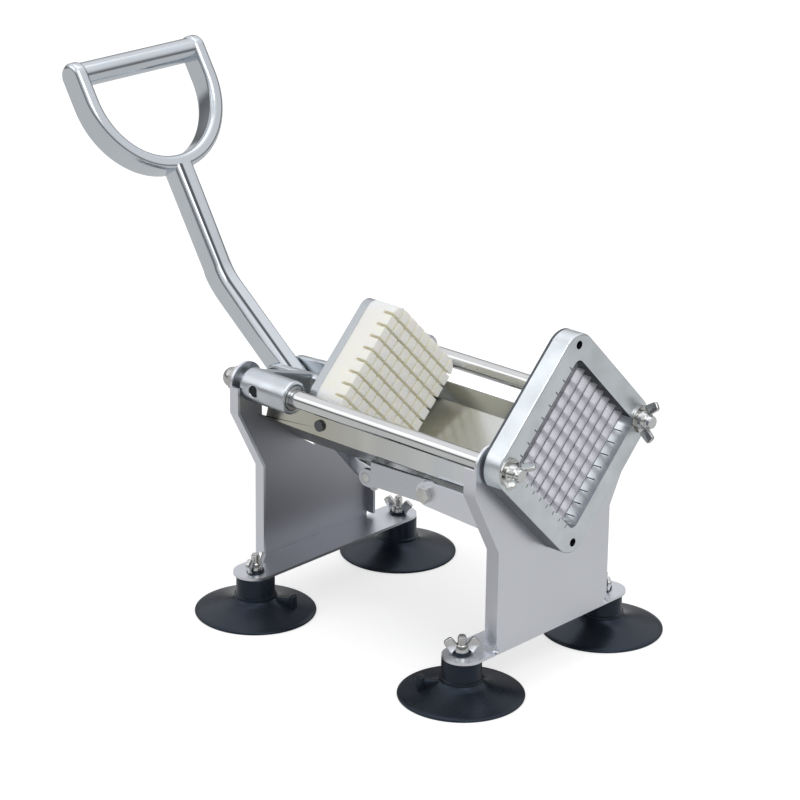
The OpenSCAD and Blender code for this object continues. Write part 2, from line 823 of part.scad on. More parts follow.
module lever_bar() {
    color("#b4bcc3") difference() {
        along_y(-lever_w / 2, lever_w / 2) {
            lower_lever_shape();
            bend_shape();
            bar_shape(lever_knee + (bend_reach - tiny) * top_dir, grip_foot + lever_w / 4 * top_dir);
        }
        pin_y(fork_pin, pin_r + run_fit, -lever_w, lever_w);
        pin_y(link_rear_pin, pin_r, -lever_w, lever_w);
        in_grip_frame() translate([0, grip_r, -far_out / 2]) cylinder(r = grip_r, h = far_out, $fn = 160);
    }
}

// Puts [y, height along the upper lever, depth] shapes at the grip's foot
module in_grip_frame() {
    translate([grip_foot[0], 0, grip_foot[1]]) rotate([0, 90 - top_angle, 0]) rotate([90, 0, 90]) children();
}

module grip_half_ring() {
    $fn = 160;
    difference() {
        union() {
            circle(grip_r);
            translate([-grip_r, 0]) square([2 * grip_r, grip_arm]);
        }
        circle(grip_r - grip_wall);
        translate([grip_wall - grip_r, 0]) square([2 * (grip_r - grip_wall), grip_arm + 1]);
        translate([-far_out / 2, grip_arm]) square(far_out);
    }
}

module grip_frame() {
    tip_z = grip_r + grip_arm - bar_drop;
    color("#b4bcc3") in_grip_frame() difference() {
        intersection() {
            translate([0, grip_r, -grip_depth / 2 - grip_back]) linear_extrude(grip_depth) grip_half_ring();
            union() {
                translate([-far_out / 2, -far_out + tip_z, -far_out / 2]) cube(far_out);
                translate([-far_out / 2, tip_z, -grip_back]) rotate([0, 90, 0])
                    cylinder(r = bar_drop, h = far_out);
            }
        }
        grip_bar_solid(bar_r);
    }
}

module grip_bar_solid(r) {
    translate([-grip_r, grip_r + grip_arm - bar_drop, -grip_back]) rotate([0, 90, 0])
        cylinder(r = r, h = 2 * grip_r);
}

module grip_bar() {
    color("#9aa3aa") in_grip_frame() grip_bar_solid(bar_r);
}

module lever_pin() {
    end_y = lever_w / 2 + cheek_gap + cheek_t + 3;
    color("silver") pin_y(fork_pin, pin_r, -end_y, end_y);
}

module pin_clips() {
    y0 = lever_w / 2 + cheek_gap + cheek_t;
    color("#5f666c") both_sides() difference() {
        pin_y(fork_pin, pin_r + 3.5, y0, y0 + 1.2);
        pin_y(fork_pin, pin_r, y0 - 1, y0 + 3);
    }
}

module lever_sleeve() {
    end_y = link_in_y - side_gap;
    color("silver") difference() {
        pin_y(link_rear_pin, pin_r, -end_y, end_y);
        pin_y(link_rear_pin, link_pin_r + run_fit, -end_y - 1, end_y + 1);
    }
}

// ---------- links ----------

// A link's path from above: two straight ends joined by a slanting stretch
module link_plan() {
    x0 = link_rear_pin[0] - link_half - 2;
    x1 = link_rear_bend[0];
    x2 = link_front_bend[0];
    x3 = link_front_pin[0] + link_half + 2;
    slant = link_t / cos(atan((link_out_y - link_in_y) / (x2 - x1)));
    skew = (slant - link_t) * (x2 - x1) / (link_out_y - link_in_y);
    polygon([[x0, link_in_y], [x1 + skew, link_in_y], [x2, link_out_y], [x3, link_out_y],
        [x3, link_out_y + link_t], [x2 - skew, link_out_y + link_t], [x1, link_in_y + link_t],
        [x0, link_in_y + link_t]]);
}

// A link's outline from the side
module link_side_shape() {
    rise = lean_of(link_rear_bend, link_front_bend);
    front = lean_of(link_front_bend, link_front_pin);
    ribbon([aside(link_rear_pin, 0, link_rear_half),
        aside(link_rear_bend, rise / 2, link_rear_half / cos(rise / 2)),
        aside(link_front_bend, (rise + front) / 2, link_half / cos((rise - front) / 2)),
        aside(link_front_pin, front, link_half)]);
    translate(link_rear_pin) circle(link_rear_half);
    translate(link_front_pin) circle(link_half);
}

module link() {
    difference() {
        intersection() {
            linear_extrude(far_out) link_plan();
            along_y(0, far_out) link_side_shape();
        }
        pin_y(link_rear_pin, link_pin_r, 0, link_in_y + link_t + 1);
        pin_y(link_front_pin, link_bolt_r + run_fit, link_out_y - 1, link_out_y + link_t + 1);
    }
}

module link_near() {
    color("#9fa7ae") mirror([0, 1, 0]) link();
}

module link_far() {
    color("#9fa7ae") link();
}

// Hexagon bolt along Y with its head from y0 outwards
module hex_bolt(p, head_y, head_t, tip_y) {
    pin_y(p, link_bolt_r, tip_y, head_y);
    translate([p[0], head_y, p[1]]) rotate([-90, 0, 0]) hex(link_bolt_r * 3.3, head_t);
}

// Rivets that are flush with the links
module link_rivets() {
    color("silver") both_sides() pin_y(link_rear_pin, link_pin_r, link_in_y, link_in_y + link_t);
}

module link_front_bolts() {
    color("silver") both_sides()
        hex_bolt(link_front_pin, arm_y + arm_t, bolt_head_t, link_out_y - side_gap - bolt_nut_t);
}

module link_front_nuts() {
    y1 = link_out_y - side_gap;
    color("silver") both_sides() difference() {
        translate([link_front_pin[0], y1 - bolt_nut_t, link_front_pin[1]]) rotate([-90, 0, 0])
            hex(link_bolt_r * 3.3, bolt_nut_t);
        pin_y(link_front_pin, link_bolt_r, y1 - bolt_nut_t - 1, y1 + 1);
    }
}

rear_leg();
front_leg();
trough();
trough_screws();
guide_rods();
rod_rear_nuts();
suction_cups();
cup_studs();
cup_washers();
foot_nut(-1, -1, -75);  // foot_nut_rear_near
foot_nut(-1, 1, 8);  // foot_nut_rear_far
foot_nut(1, -1, 48);  // foot_nut_front_near
foot_nut(1, 1, -28);  // foot_nut_front_far
head_back_plate();
blade_holder();
blades_front();
blades_rear();
head_washers();
head_nut(-1, 110);  // head_nut_near
head_nut(1, 167);  // head_nut_far
carriage();
rod_bushes();
boss_screws();
pusher_back_plate();
pusher_block();
pusher_studs();
pusher_nuts();
lever_bar();
lever_pin();
pin_clips();
lever_sleeve();
grip_frame();
grip_bar();
link_near();
link_far();
link_rivets();
link_front_bolts();
link_front_nuts();
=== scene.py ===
import bpy
import json
import math
from mathutils import Matrix, Vector

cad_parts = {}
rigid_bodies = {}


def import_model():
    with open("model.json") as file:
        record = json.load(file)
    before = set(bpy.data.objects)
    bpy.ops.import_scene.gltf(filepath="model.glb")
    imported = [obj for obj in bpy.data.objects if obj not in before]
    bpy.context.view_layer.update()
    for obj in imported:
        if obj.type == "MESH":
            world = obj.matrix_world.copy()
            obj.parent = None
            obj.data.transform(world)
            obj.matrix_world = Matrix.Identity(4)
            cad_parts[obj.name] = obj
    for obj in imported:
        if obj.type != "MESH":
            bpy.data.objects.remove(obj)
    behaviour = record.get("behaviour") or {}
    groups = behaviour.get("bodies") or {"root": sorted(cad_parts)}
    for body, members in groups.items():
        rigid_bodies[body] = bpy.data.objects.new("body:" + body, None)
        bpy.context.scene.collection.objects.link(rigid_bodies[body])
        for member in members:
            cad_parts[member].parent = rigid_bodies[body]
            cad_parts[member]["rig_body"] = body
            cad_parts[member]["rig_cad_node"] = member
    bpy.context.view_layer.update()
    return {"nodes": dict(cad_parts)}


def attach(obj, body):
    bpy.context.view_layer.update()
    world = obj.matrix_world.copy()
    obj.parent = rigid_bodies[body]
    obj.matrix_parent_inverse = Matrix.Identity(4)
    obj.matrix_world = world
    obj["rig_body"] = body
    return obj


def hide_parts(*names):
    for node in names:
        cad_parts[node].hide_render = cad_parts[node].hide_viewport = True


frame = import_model()
print("packed model loaded:", len(frame["nodes"]), "nodes")

mm = 0.001
hair = 0.05     # how near two places are taken as one, in mm
flatTurn = 0.4     # triangles that turn less than this, in degrees, are joined to one face


def clearSelection():
    if bpy.context.object and bpy.context.object.mode != "OBJECT":
        bpy.ops.object.mode_set(mode="OBJECT")
    bpy.ops.object.select_all(action="DESELECT")


def pick(piece):
    clearSelection()
    piece.select_set(True)
    bpy.context.view_layer.objects.active = piece


def editAll(piece):
    pick(piece)
    bpy.ops.object.mode_set(mode="EDIT")
    bpy.ops.mesh.select_all(action="SELECT")


def unselectMesh(piece):
    for part in (piece.data.vertices, piece.data.edges, piece.data.polygons):
        for item in part:
            item.select = False


def editEdges(piece, wanted):
    # wanted(a, b) says whether the edge from point a to point b, in mm, is selected
    pick(piece)
    unselectMesh(piece)
    points = [v.co / mm for v in piece.data.vertices]
    for edge in piece.data.edges:
        if wanted(points[edge.vertices[0]], points[edge.vertices[1]]):
            edge.select = True
            for index in edge.vertices:
                piece.data.vertices[index].select = True
    bpy.context.tool_settings.mesh_select_mode = (False, True, False)
    bpy.ops.object.mode_set(mode="EDIT")


def editFaces(piece, wanted):
    # wanted(centre, normal) says whether a face is selected, with its centre in mm
    pick(piece)
    unselectMesh(piece)
    for face in piece.data.polygons:
        face.select = wanted(face.center / mm, face.normal)
    bpy.context.tool_settings.mesh_select_mode = (False, False, True)
    bpy.ops.object.mode_set(mode="EDIT")


def objectMode():
    bpy.ops.object.mode_set(mode="OBJECT")


def applyModifier(piece, name, kind, **values):
    pick(piece)
    modifier = piece.modifiers.new(name, kind)
    for key, value in values.items():
        setattr(modifier, key, value)
    bpy.ops.object.modifier_apply(modifier=name)


def softShade(piece, angle=32):
    pick(piece)
    bpy.ops.object.shade_smooth_by_angle(angle=math.radians(angle))


def roundEdges(piece, width, segments=2, angle=38):
    applyModifier(piece, "edgeRound", "BEVEL", width=width * mm, segments=segments,
                  limit_method="ANGLE", angle_limit=math.radians(angle), miter_outer="MITER_ARC")


def evenShade(piece, angle=35):
    # smooth rounds with the big faces between them kept flat
    softShade(piece, angle)
    applyModifier(piece, "evenNormals", "WEIGHTED_NORMAL", keep_sharp=True, weight=60)


def bevelPicked(width, segments):
    bpy.ops.mesh.bevel(offset=width * mm, offset_type="OFFSET", segments=segments, profile=0.5,
                       clamp_overlap=True)
    objectMode()


def roundByWeight(piece, width, segments, share):
    # share(a, b) gives how much of the width an edge gets, from 0 to 1
    points = [v.co / mm for v in piece.data.vertices]
    weights = piece.data.attributes.new("bevel_weight_edge", "FLOAT", "EDGE")
    for edge in piece.data.edges:
        weights.data[edge.index].value = share(points[edge.vertices[0]], points[edge.vertices[1]])
    applyModifier(piece, "edgeRound", "BEVEL", width=width * mm, segments=segments,
                  limit_method="WEIGHT", use_clamp_overlap=False)


def cutBy(piece, tool, operation):
    # cuts the piece with the tool, or keeps what is in both, and removes the tool
    applyModifier(piece, "toolCut", "BOOLEAN", operation=operation, solver="EXACT", object=tool)
    bpy.data.objects.remove(tool)


def closeHoles(piece, spots, radius):
    # fills round holes along Y, whose middles are given as (x, z) in mm
    def inHole(centre, normal):
        aside = min(math.hypot(centre.x - x, centre.z - z) for x, z in spots)
        return abs(normal.y) < 0.3 and aside < radius

    editFaces(piece, inHole)
    bpy.ops.mesh.delete(type="FACE")
    bpy.ops.mesh.select_all(action="SELECT")
    bpy.ops.mesh.fill_holes(sides=0)
    bpy.ops.mesh.select_all(action="SELECT")
    bpy.ops.mesh.dissolve_limited(angle_limit=math.radians(flatTurn))
    objectMode()


def boxAt(name, size, place=(0, 0, 0)):
    clearSelection()
    bpy.ops.mesh.primitive_cube_add(size=1, location=Vector(place) * mm)
    piece = bpy.context.object
    piece.name = name
    piece.scale = Vector(size) * mm
    bpy.ops.object.transform_apply(location=True, rotation=True, scale=True)
    return piece


def copyNode(nodeName, pieceName, merge=0.004):
    pick(frame["nodes"][nodeName])
    bpy.ops.object.duplicate()
    piece = bpy.context.object
    piece.name = pieceName
    piece.parent = None
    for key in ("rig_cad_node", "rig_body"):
        if key in piece:
            del piece[key]
    piece.data.name = pieceName
    piece.data.materials.clear()
    editAll(piece)
    bpy.ops.mesh.customdata_custom_splitnormals_clear()
    bpy.ops.mesh.remove_doubles(threshold=merge * mm)
    bpy.ops.mesh.dissolve_limited(angle_limit=math.radians(flatTurn))
    objectMode()
    return piece


def joinPieces(pieces, name):
    clearSelection()
    for piece in pieces:
        piece.select_set(True)
    bpy.context.view_layer.objects.active = pieces[0]
    if len(pieces) > 1:
        bpy.ops.object.join()
    pieces[0].name = name
    return pieces[0]


def duplicateAt(piece, matrix):
    # a copy with its own mesh, with its place in the mesh
    pick(piece)
    bpy.ops.object.duplicate()
    copy = bpy.context.object
    copy.data.transform(matrix)
    return copy


def placeMatrix(place, turns=()):
    # turns is a list of (degrees, axis), applied in order, then the move in mm
    matrix = Matrix.Identity(4)
    for degrees, axis in turns:
        matrix = Matrix.Rotation(math.radians(degrees), 4, axis) @ matrix
    return Matrix.Translation(Vector(place) * mm) @ matrix


def lathe(name, outline, steps=64):
    # outline is a list of (radius, height) in mm, drawn point by point and spun round Z
    clearSelection()
    bpy.ops.mesh.primitive_plane_add(size=mm)
    piece = bpy.context.object
    piece.name = name
    bpy.context.tool_settings.mesh_select_mode = (True, False, False)
    bpy.ops.object.mode_set(mode="EDIT")
    bpy.ops.mesh.select_all(action="SELECT")
    bpy.ops.mesh.merge(type="CENTER")
    here = (0, 0)
    for index, (radius, height) in enumerate(outline):
        step = Vector((radius - here[0], 0, height - here[1])) * mm
        if index:
            bpy.ops.mesh.extrude_region_move(TRANSFORM_OT_translate={"value": step})
        else:
            bpy.ops.transform.translate(value=step)
        here = (radius, height)
    bpy.ops.mesh.select_all(action="SELECT")
    bpy.ops.mesh.spin(steps=steps, angle=math.tau, center=(0, 0, 0), axis=(0, 0, 1))
    bpy.ops.mesh.select_all(action="SELECT")
    bpy.ops.mesh.remove_doubles(threshold=0.01 * mm)
    bpy.ops.mesh.normals_make_consistent(inside=False)
    objectMode()
    return piece


def arcPoints(centre, radius, start, stop, count):
    # points of an arc in an outline, angles in degrees
    points = []
    for k in range(count + 1):
        angle = math.radians(start + (stop - start) * k / count)
        points.append((centre[0] + radius * math.cos(angle), centre[1] + radius * math.sin(angle)))
    return points


def threadOutline(radius, low, high, pitch, depth=0.55):
    # a threaded shank's side, from low to high, with its end chamfered
    points = [(radius - depth, low)]
    turns = int((high - low - pitch) / pitch)
    for k in range(turns):
        z = low + k * pitch
        points += [(radius - depth, z + 0.1 * pitch), (radius, z + 0.45 * pitch),
                   (radius, z + 0.55 * pitch), (radius - depth, z + 0.9 * pitch)]
    points += [(radius - depth, high - 0.4 * pitch), (radius - 1.6 * depth, high), (0, high)]
    return points


class Finish:
    # a material under construction: its nodes and links

    def __init__(self, name):
        self.material = bpy.data.materials.new(name)
        self.material.use_nodes = True
        self.tree = self.material.node_tree
        self.shader = self.tree.nodes["Principled BSDF"]
        self.space = self.tree.nodes.new("ShaderNodeTexCoord").outputs["Object"]

    def node(self, kind, **values):
        made = self.tree.nodes.new(kind)
        for key, value in values.items():
            setattr(made, key, value)
        return made

    def link(self, start, end):
        self.tree.links.new(start, end)

    def put(self, **values):
        for key, value in values.items():
            self.shader.inputs[key.replace("_", " ")].default_value = value

    def mapped(self, scale, turn=(0, 0, 0)):
        node = self.node("ShaderNodeMapping")
        node.inputs["Scale"].default_value = scale
        node.inputs["Rotation"].default_value = [math.radians(a) for a in turn]
        self.link(self.space, node.inputs["Vector"])
        return node.outputs["Vector"]

    def noise(self, scale, detail=4, stretch=(1, 1, 1), turn=(0, 0, 0), roughness=0.5):
        node = self.node("ShaderNodeTexNoise")
        node.inputs["Scale"].default_value = scale
        node.inputs["Detail"].default_value = detail
        node.inputs["Roughness"].default_value = roughness
        self.link(self.mapped(stretch, turn), node.inputs["Vector"])
        return node.outputs["Fac"]

    def ramp(self, source, low, high, start=0.3, stop=0.7):
        node = self.node("ShaderNodeMapRange")
        node.inputs["From Min"].default_value = start
        node.inputs["From Max"].default_value = stop
        node.inputs["To Min"].default_value = low
        node.inputs["To Max"].default_value = high
        self.link(source, node.inputs["Value"])
        return node.outputs["Result"]

    def mix(self, source, colourA, colourB):
        node = self.node("ShaderNodeMix", data_type="RGBA")
        self.link(source, node.inputs["Factor"])
        # sockets 6 and 7 take the colours and 2 gives the mix
        for socket, colour in ((node.inputs[6], colourA), (node.inputs[7], colourB)):
            if isinstance(colour, tuple):
                socket.default_value = (*colour, 1)
            else:
                self.link(colour, socket)
        return node.outputs[2]

    def bump(self, source, strength, distance):
        node = self.node("ShaderNodeBump")
        node.inputs["Strength"].default_value = strength
        node.inputs["Distance"].default_value = distance * mm
        self.link(source, node.inputs["Height"])
        self.link(node.outputs["Normal"], self.shader.inputs["Normal"])


# a Look says how fine a finish's patterns are, their detail, and how deep its grain is in mm
brushLook = {"grain": 160, "grainDetail": 6, "cloud": 9, "cloudDetail": 3, "cloudShare": 0.6, "bump": 0.08,
             "deep": 0.02}


def brushedSteel(name, colour, rough=0.3, stretch=(1, 1, 40), streak=0.08, turn=(0, 0, 0), line=None):
    # line gives the place along Y and the half width, in mm, and the colour of a painted dark reflection
    # line
    f = Finish(name)
    look = brushLook
    grain = f.noise(look["grain"], look["grainDetail"], stretch, turn)
    cloud = f.noise(look["cloud"], look["cloudDetail"])
    darker = tuple(c * (1 - streak) for c in colour)
    tone = f.mix(f.ramp(grain, 0, 1), darker, colour)
    lighter = tuple(min(1, c * (1 + streak)) for c in colour)
    tone = f.mix(f.ramp(cloud, 0, look["cloudShare"]), tone, lighter)
    if line:
        place, half, shade = line
        split = f.node("ShaderNodeSeparateXYZ")
        f.link(f.space, split.inputs[0])
        aside = f.node("ShaderNodeMath", operation="SUBTRACT")
        f.link(split.outputs["Y"], aside.inputs[0])
        aside.inputs[1].default_value = place * mm
        far = f.node("ShaderNodeMath", operation="ABSOLUTE")
        f.link(aside.outputs[0], far.inputs[0])
        tone = f.mix(f.ramp(far.outputs[0], 0, 1, 0.4 * half * mm, half * mm), shade, tone)
    f.link(tone, f.shader.inputs["Base Color"])
    f.link(f.ramp(grain, rough - 0.05, rough + 0.06), f.shader.inputs["Roughness"])
    f.put(Metallic=1.0)
    f.bump(grain, look["bump"], look["deep"])
    return f.material


castLook = {"fine": 900, "broad": 45, "detail": 4, "darker": 0.86, "roughSpread": 0.07, "deep": 0.12}


def castMetal(name, colour, rough=0.42, grit=0.22, metalShare=1.0, shine=0.5):
    # the argument after grit is 1 for metal and 0 for a dull non-metal, which the head's painted shade
    # underneath uses
    f = Finish(name)
    look = castLook
    fine = f.noise(look["fine"], look["detail"])
    broad = f.noise(look["broad"], look["detail"])
    darker = tuple(c * look["darker"] for c in colour)
    f.link(f.mix(f.ramp(broad, 0, 1), darker, colour), f.shader.inputs["Base Color"])
    spread = look["roughSpread"]
    f.link(f.ramp(broad, rough + spread, rough - spread), f.shader.inputs["Roughness"])
    f.put(Metallic=metalShare, Specular_IOR_Level=shine)
    f.bump(fine, grit, look["deep"])
    return f.material


polishLook = {"turned": 240, "turnedDetail": 3, "cloud": 14, "cloudDetail": 2, "darker": 0.93, "bump": 0.03,
              "deep": 0.01}


def polishedSteel(name, colour, rough=0.12):
    f = Finish(name)
    look = polishLook
    turned = f.noise(look["turned"], look["turnedDetail"], (60, 1, 1))
    cloud = f.noise(look["cloud"], look["cloudDetail"])
    darker = tuple(c * look["darker"] for c in colour)
    f.link(f.mix(f.ramp(cloud, 0, 1), darker, colour), f.shader.inputs["Base Color"])
    f.link(f.ramp(turned, rough - 0.03, rough + 0.05), f.shader.inputs["Roughness"])
    f.put(Metallic=1.0)
    f.bump(turned, look["bump"], look["deep"])
    return f.material


zincLook = {"spangle": 70, "spangleDetail": 5, "fine": 600, "fineDetail": 3, "darker": 0.72, "bump": 0.12,
            "deep": 0.05}


def zincPlate(name, colour, rough=0.24):
    f = Finish(name)
    look = zincLook
    spangle = f.noise(look["spangle"], look["spangleDetail"])
    fine = f.noise(look["fine"], look["fineDetail"])
    darker = tuple(c * look["darker"] for c in colour)
    f.link(f.mix(f.ramp(spangle, 0, 1), darker, colour), f.shader.inputs["Base Color"])
    f.link(f.ramp(spangle, rough + 0.1, rough - 0.05), f.shader.inputs["Roughness"])
    f.put(Metallic=1.0)
    f.bump(fine, look["bump"], look["deep"])
    return f.material


rubberLook = {"fine": 1200, "fineDetail": 3, "dust": 38, "dustDetail": 5, "dustTone": 0.008,
              "rough": (0.24, 0.36), "shine": 0.42, "tint": (0.55, 0.72, 1.0, 1), "bump": 0.10, "deep": 0.05}


def mouldedRubber(name, colour):
    f = Finish(name)
    look = rubberLook
    fine = f.noise(look["fine"], look["fineDetail"])
    dust = f.noise(look["dust"], look["dustDetail"])
    dusty = tuple(c + look["dustTone"] for c in colour)
    f.link(f.mix(f.ramp(dust, 0, 1), colour, dusty), f.shader.inputs["Base Color"])
    f.link(f.ramp(dust, *look["rough"]), f.shader.inputs["Roughness"])
    f.put(Specular_IOR_Level=look["shine"], Specular_Tint=look["tint"])
    f.bump(fine, look["bump"], look["deep"])
    return f.material


plasticLook = {"patch": 60, "patchDetail": 3, "fine": 800, "fineDetail": 2, "rough": (0.44, 0.58),
               "milky": 0.35, "reach": 0.006, "reachTint": (1.0, 0.8, 0.5), "bump": 0.05, "deep": 0.05}


def mouldedPlastic(name, colour, warm, glow=0.07):
    # glow is painted light: the plastic glows faintly though it is no lamp
    f = Finish(name)
    look = plasticLook
    patch = f.noise(look["patch"], look["patchDetail"])
    fine = f.noise(look["fine"], look["fineDetail"])
    f.link(f.mix(f.ramp(patch, 0, 1), colour, warm), f.shader.inputs["Base Color"])
    f.link(f.ramp(patch, *look["rough"]), f.shader.inputs["Roughness"])
    f.put(Subsurface_Weight=look["milky"], Subsurface_Scale=look["reach"],
          Subsurface_Radius=look["reachTint"], Emission_Strength=glow, Emission_Color=(*colour, 1))
    f.bump(fine, look["bump"], look["deep"])
    return f.material


bladeLook = {"grain": 420, "grainDetail": 5, "darker": 0.8, "metal": 0.55, "bump": 0.12, "deep": 0.02}


def bladeSteel(name, colour, shade, start, stop, rough=0.3):
    # ground steel that goes over into painted shade towards the back, between two heights along X, in mm
    f = Finish(name)
    look = bladeLook
    grain = f.noise(look["grain"], look["grainDetail"], (1, 30, 30))
    place = f.node("ShaderNodeSeparateXYZ")
    f.link(f.space, place.inputs[0])
    depth = f.ramp(place.outputs["X"], 0, 1, start * mm, stop * mm)
    tone = f.mix(f.ramp(grain, 0, 1), tuple(c * look["darker"] for c in colour), colour)
    f.link(f.mix(depth, shade, tone), f.shader.inputs["Base Color"])
    f.link(f.ramp(grain, rough - 0.06, rough + 0.08), f.shader.inputs["Roughness"])
    f.put(Metallic=look["metal"])
    f.bump(grain, look["bump"], look["deep"])
    return f.material


# from and to, along X in mm, are where the painted reflection of the block goes over into the cool sheet
troughLook = {"grain": 160, "grainDetail": 5, "streak": 26, "streakDetail": 2, "streakShare": 0.35,
              "streakTone": (0.80, 0.80, 0.74), "from": -60, "to": 75, "bump": 0.06, "deep": 0.02}


def troughSteelPaintedReflection(name, warm, cool, rough=0.2):
    # bright rolled sheet with long soft diagonal streaks; the warmer tone towards the block is a painted
    # reflection of the cream block
    f = Finish(name)
    look = troughLook
    grain = f.noise(look["grain"], look["grainDetail"], (1, 30, 30))
    streak = f.noise(look["streak"], look["streakDetail"], (1, 0.15, 0.15), (0, 35, 35))
    place = f.node("ShaderNodeSeparateXYZ")
    f.link(f.space, place.inputs[0])
    along = f.ramp(place.outputs["X"], 0, 1, look["from"] * mm, look["to"] * mm)
    tone = f.mix(along, warm, cool)
    tone = f.mix(f.ramp(streak, 0, look["streakShare"], 0.4, 0.65), tone, look["streakTone"])
    f.link(tone, f.shader.inputs["Base Color"])
    f.link(f.ramp(grain, rough - 0.05, rough + 0.06), f.shader.inputs["Roughness"])
    f.put(Metallic=1.0)
    f.bump(grain, look["bump"], look["deep"])
    return f.material


finishes = {
    "sheet": brushedSteel("satinSheet", (0.75, 0.77, 0.82), 0.34, (40, 40, 1), 0.05),
    # a darker copy of the satin sheet: painted shade for the rear leg's inner faces
    "sheetPaintedShade": brushedSteel("satinSheetPaintedShade", (0.44, 0.45, 0.49), 0.42, (1, 40, 1), 0.05),
    # the warm first colour is a painted reflection of the cream block
    "trough": troughSteelPaintedReflection("troughSheet", (0.50, 0.49, 0.42), (0.68, 0.71, 0.74)),
    # the lever's dark line on its near side is a painted reflection
    "lever": brushedSteel("leverSteel", (0.64, 0.68, 0.72), 0.15, (1, 40, 1), 0.08, (0, 50, 0),
                          (-4.2, 1.9, (0.10, 0.11, 0.12))),
    "grip": brushedSteel("gripSteel", (0.62, 0.66, 0.70), 0.16, (40, 1, 40), 0.08),
    "link": brushedSteel("linkSteel", (0.56, 0.58, 0.62), 0.22, (1, 40, 40), 0.08),
    "plate": brushedSteel("pusherPlateSteel", (0.46, 0.49, 0.51), 0.35, (1, 1, 40), 0.06),
    # the front blades darken towards the back: painted shade
    "blade": bladeSteel("bladeSteel", (0.78, 0.78, 0.84), (0.05, 0.05, 0.06), 114.6, 116.2),
    # the strip next to the wall is darker, its shade reaching further forward: painted shade
    "bladeWallShade": bladeSteel("bladeSteelWallPaintedShade", (0.60, 0.60, 0.64), (0.02, 0.02, 0.025), 119.2, 120.4),
    # the rear blades are a darker copy of the blade steel: painted shade
    "bladeRear": bladeSteel("bladeSteelRearPaintedShade", (0.42, 0.42, 0.46), (0.05, 0.05, 0.06), 107, 114),
    # the front blades' front edges are painted dark as shade, the rear blades' front edges painted light as
    # a highlight
    "bladeEdge": bladeSteel("bladeEdgeFrontPaintedShade", (0.14, 0.14, 0.16), (0.05, 0.05, 0.06), 100, 101),
    "bladeRearEdge": bladeSteel("bladeEdgeRearPaintedHighlight", (0.85, 0.85, 0.88), (0.05, 0.05, 0.06), 100, 101),
    "cast": castMetal("castHead", (0.76, 0.81, 0.84), 0.36, 0.10),
    # one wall of the opening: painted shade
    "castPaintedShadeWall": castMetal("castHeadWallPaintedShade", (0.10, 0.11, 0.12), 0.5, 0.12),
    # the head's outer faces that face down and near: painted shade, dull and dark
    "castPaintedShadeUnder": castMetal("castHeadUnderPaintedShade", (0.14, 0.15, 0.17), 0.5, 0.12, 0.0, 0.15),
    # near black: painted shade in the dowel holes and the boss screws' holes
    "holePaintedShade": castMetal("darkHolePaintedShade", (0.05, 0.055, 0.06), 0.6, 0.12),
    # the head back plate's rim: a dark copy of the sheet, painted shade
    "backRimPaintedShade": brushedSteel("backPlateRimPaintedShade", (0.10, 0.11, 0.12), 0.4, (40, 40, 1), 0.05),
    "carriage": castMetal("castCarriage", (0.66, 0.70, 0.74), 0.32, 0.34),
    "rod": polishedSteel("rodChrome", (0.68, 0.69, 0.69), 0.10),
    "zinc": zincPlate("zincPlate", (0.66, 0.66, 0.64), 0.18),
    "nut": zincPlate("wingNutZinc", (0.66, 0.67, 0.66), 0.10),
    "darkZinc": zincPlate("darkZinc", (0.14, 0.15, 0.16)),
    "bush": polishedSteel("bushMetal", (0.50, 0.51, 0.52), 0.25),
    "rubber": mouldedRubber("blackRubber", (0.007, 0.010, 0.015)),
    # the plastics glow faintly: painted light
    "plastic": mouldedPlastic("creamPlastic", (0.95, 0.94, 0.85), (0.96, 0.92, 0.90)),
    # the grooves are a warmer, darker cream: painted shade
    "plasticGroove": mouldedPlastic("creamPlasticGroovePaintedShade", (0.90, 0.88, 0.74), (0.90, 0.89, 0.78), 0.05),
    "plasticBase": mouldedPlastic("whitePlastic", (0.92, 0.93, 0.92), (0.89, 0.91, 0.91)),
}
print("materials ready:", len(finishes))


def setFinish(piece, *names):
    piece.data.materials.clear()
    for name in names:
        piece.data.materials.append(finishes[name])


def seat(piece, body, slotName, *nodes):
    # the piece rides on a body and stands for the named nodes
    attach(piece, body)
    if nodes:
        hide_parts(*nodes)
    print("made", piece.name)
    return piece


def dressPlain(nodeName, pieceName, body, slotName, finish, edge, angle=38):
    # a copy of the node with its edges rounded by edge, in mm
    piece = copyNode(nodeName, pieceName)
    roundEdges(piece, edge, 2, angle)
    evenShade(piece)
    setFinish(piece, finish)
    return seat(piece, body, slotName, nodeName)


legs = {"bend": 2.6, "bendSegments": 4, "edge": 0.35, "rearX": -110, "frontX": 110, "t": 2, "footTop": 30,
        "flangeY": 50, "flangeLow": 32, "flangeHigh": 165, "flangeRun": 5, "earFoot": 146}


def dressLeg(nodeName, pieceName, side):
    # side is 1 for the front leg and -1 for the rear one
    s = legs
    outerX = side * (s["frontX"] + s["t"])
    piece = copyNode(nodeName, pieceName)

    def onBend(a, b):
        if abs(a.x - outerX) > hair or abs(b.x - outerX) > hair:
            return False
        atFoot = abs(a.z - b.z) < hair and abs(a.z - s["footTop"] + s["t"]) < hair
        acrossMiddle = abs(a.y + b.y) < 1
        oneSide = a.y * b.y > 0 and min(abs(a.y), abs(b.y)) > s["flangeY"]
        inFlange = min(a.z, b.z) > s["flangeLow"] and max(a.z, b.z) < s["flangeHigh"]
        return (atFoot and acrossMiddle) or (oneSide and inFlange and abs(a.z - b.z) > s["flangeRun"])

    editEdges(piece, onBend)
    bevelPicked(s["bend"], s["bendSegments"])
    roundEdges(piece, s["edge"], 2, 50)
    evenShade(piece)
    return piece


frontLeg = dressLeg("front_leg", "frontLeg", 1)
setFinish(frontLeg, "sheet")
seat(frontLeg, "frame", "satin_steel", "front_leg")

rearLeg = dressLeg("rear_leg", "rearLeg", -1)
setFinish(rearLeg, "sheet", "sheetPaintedShade")
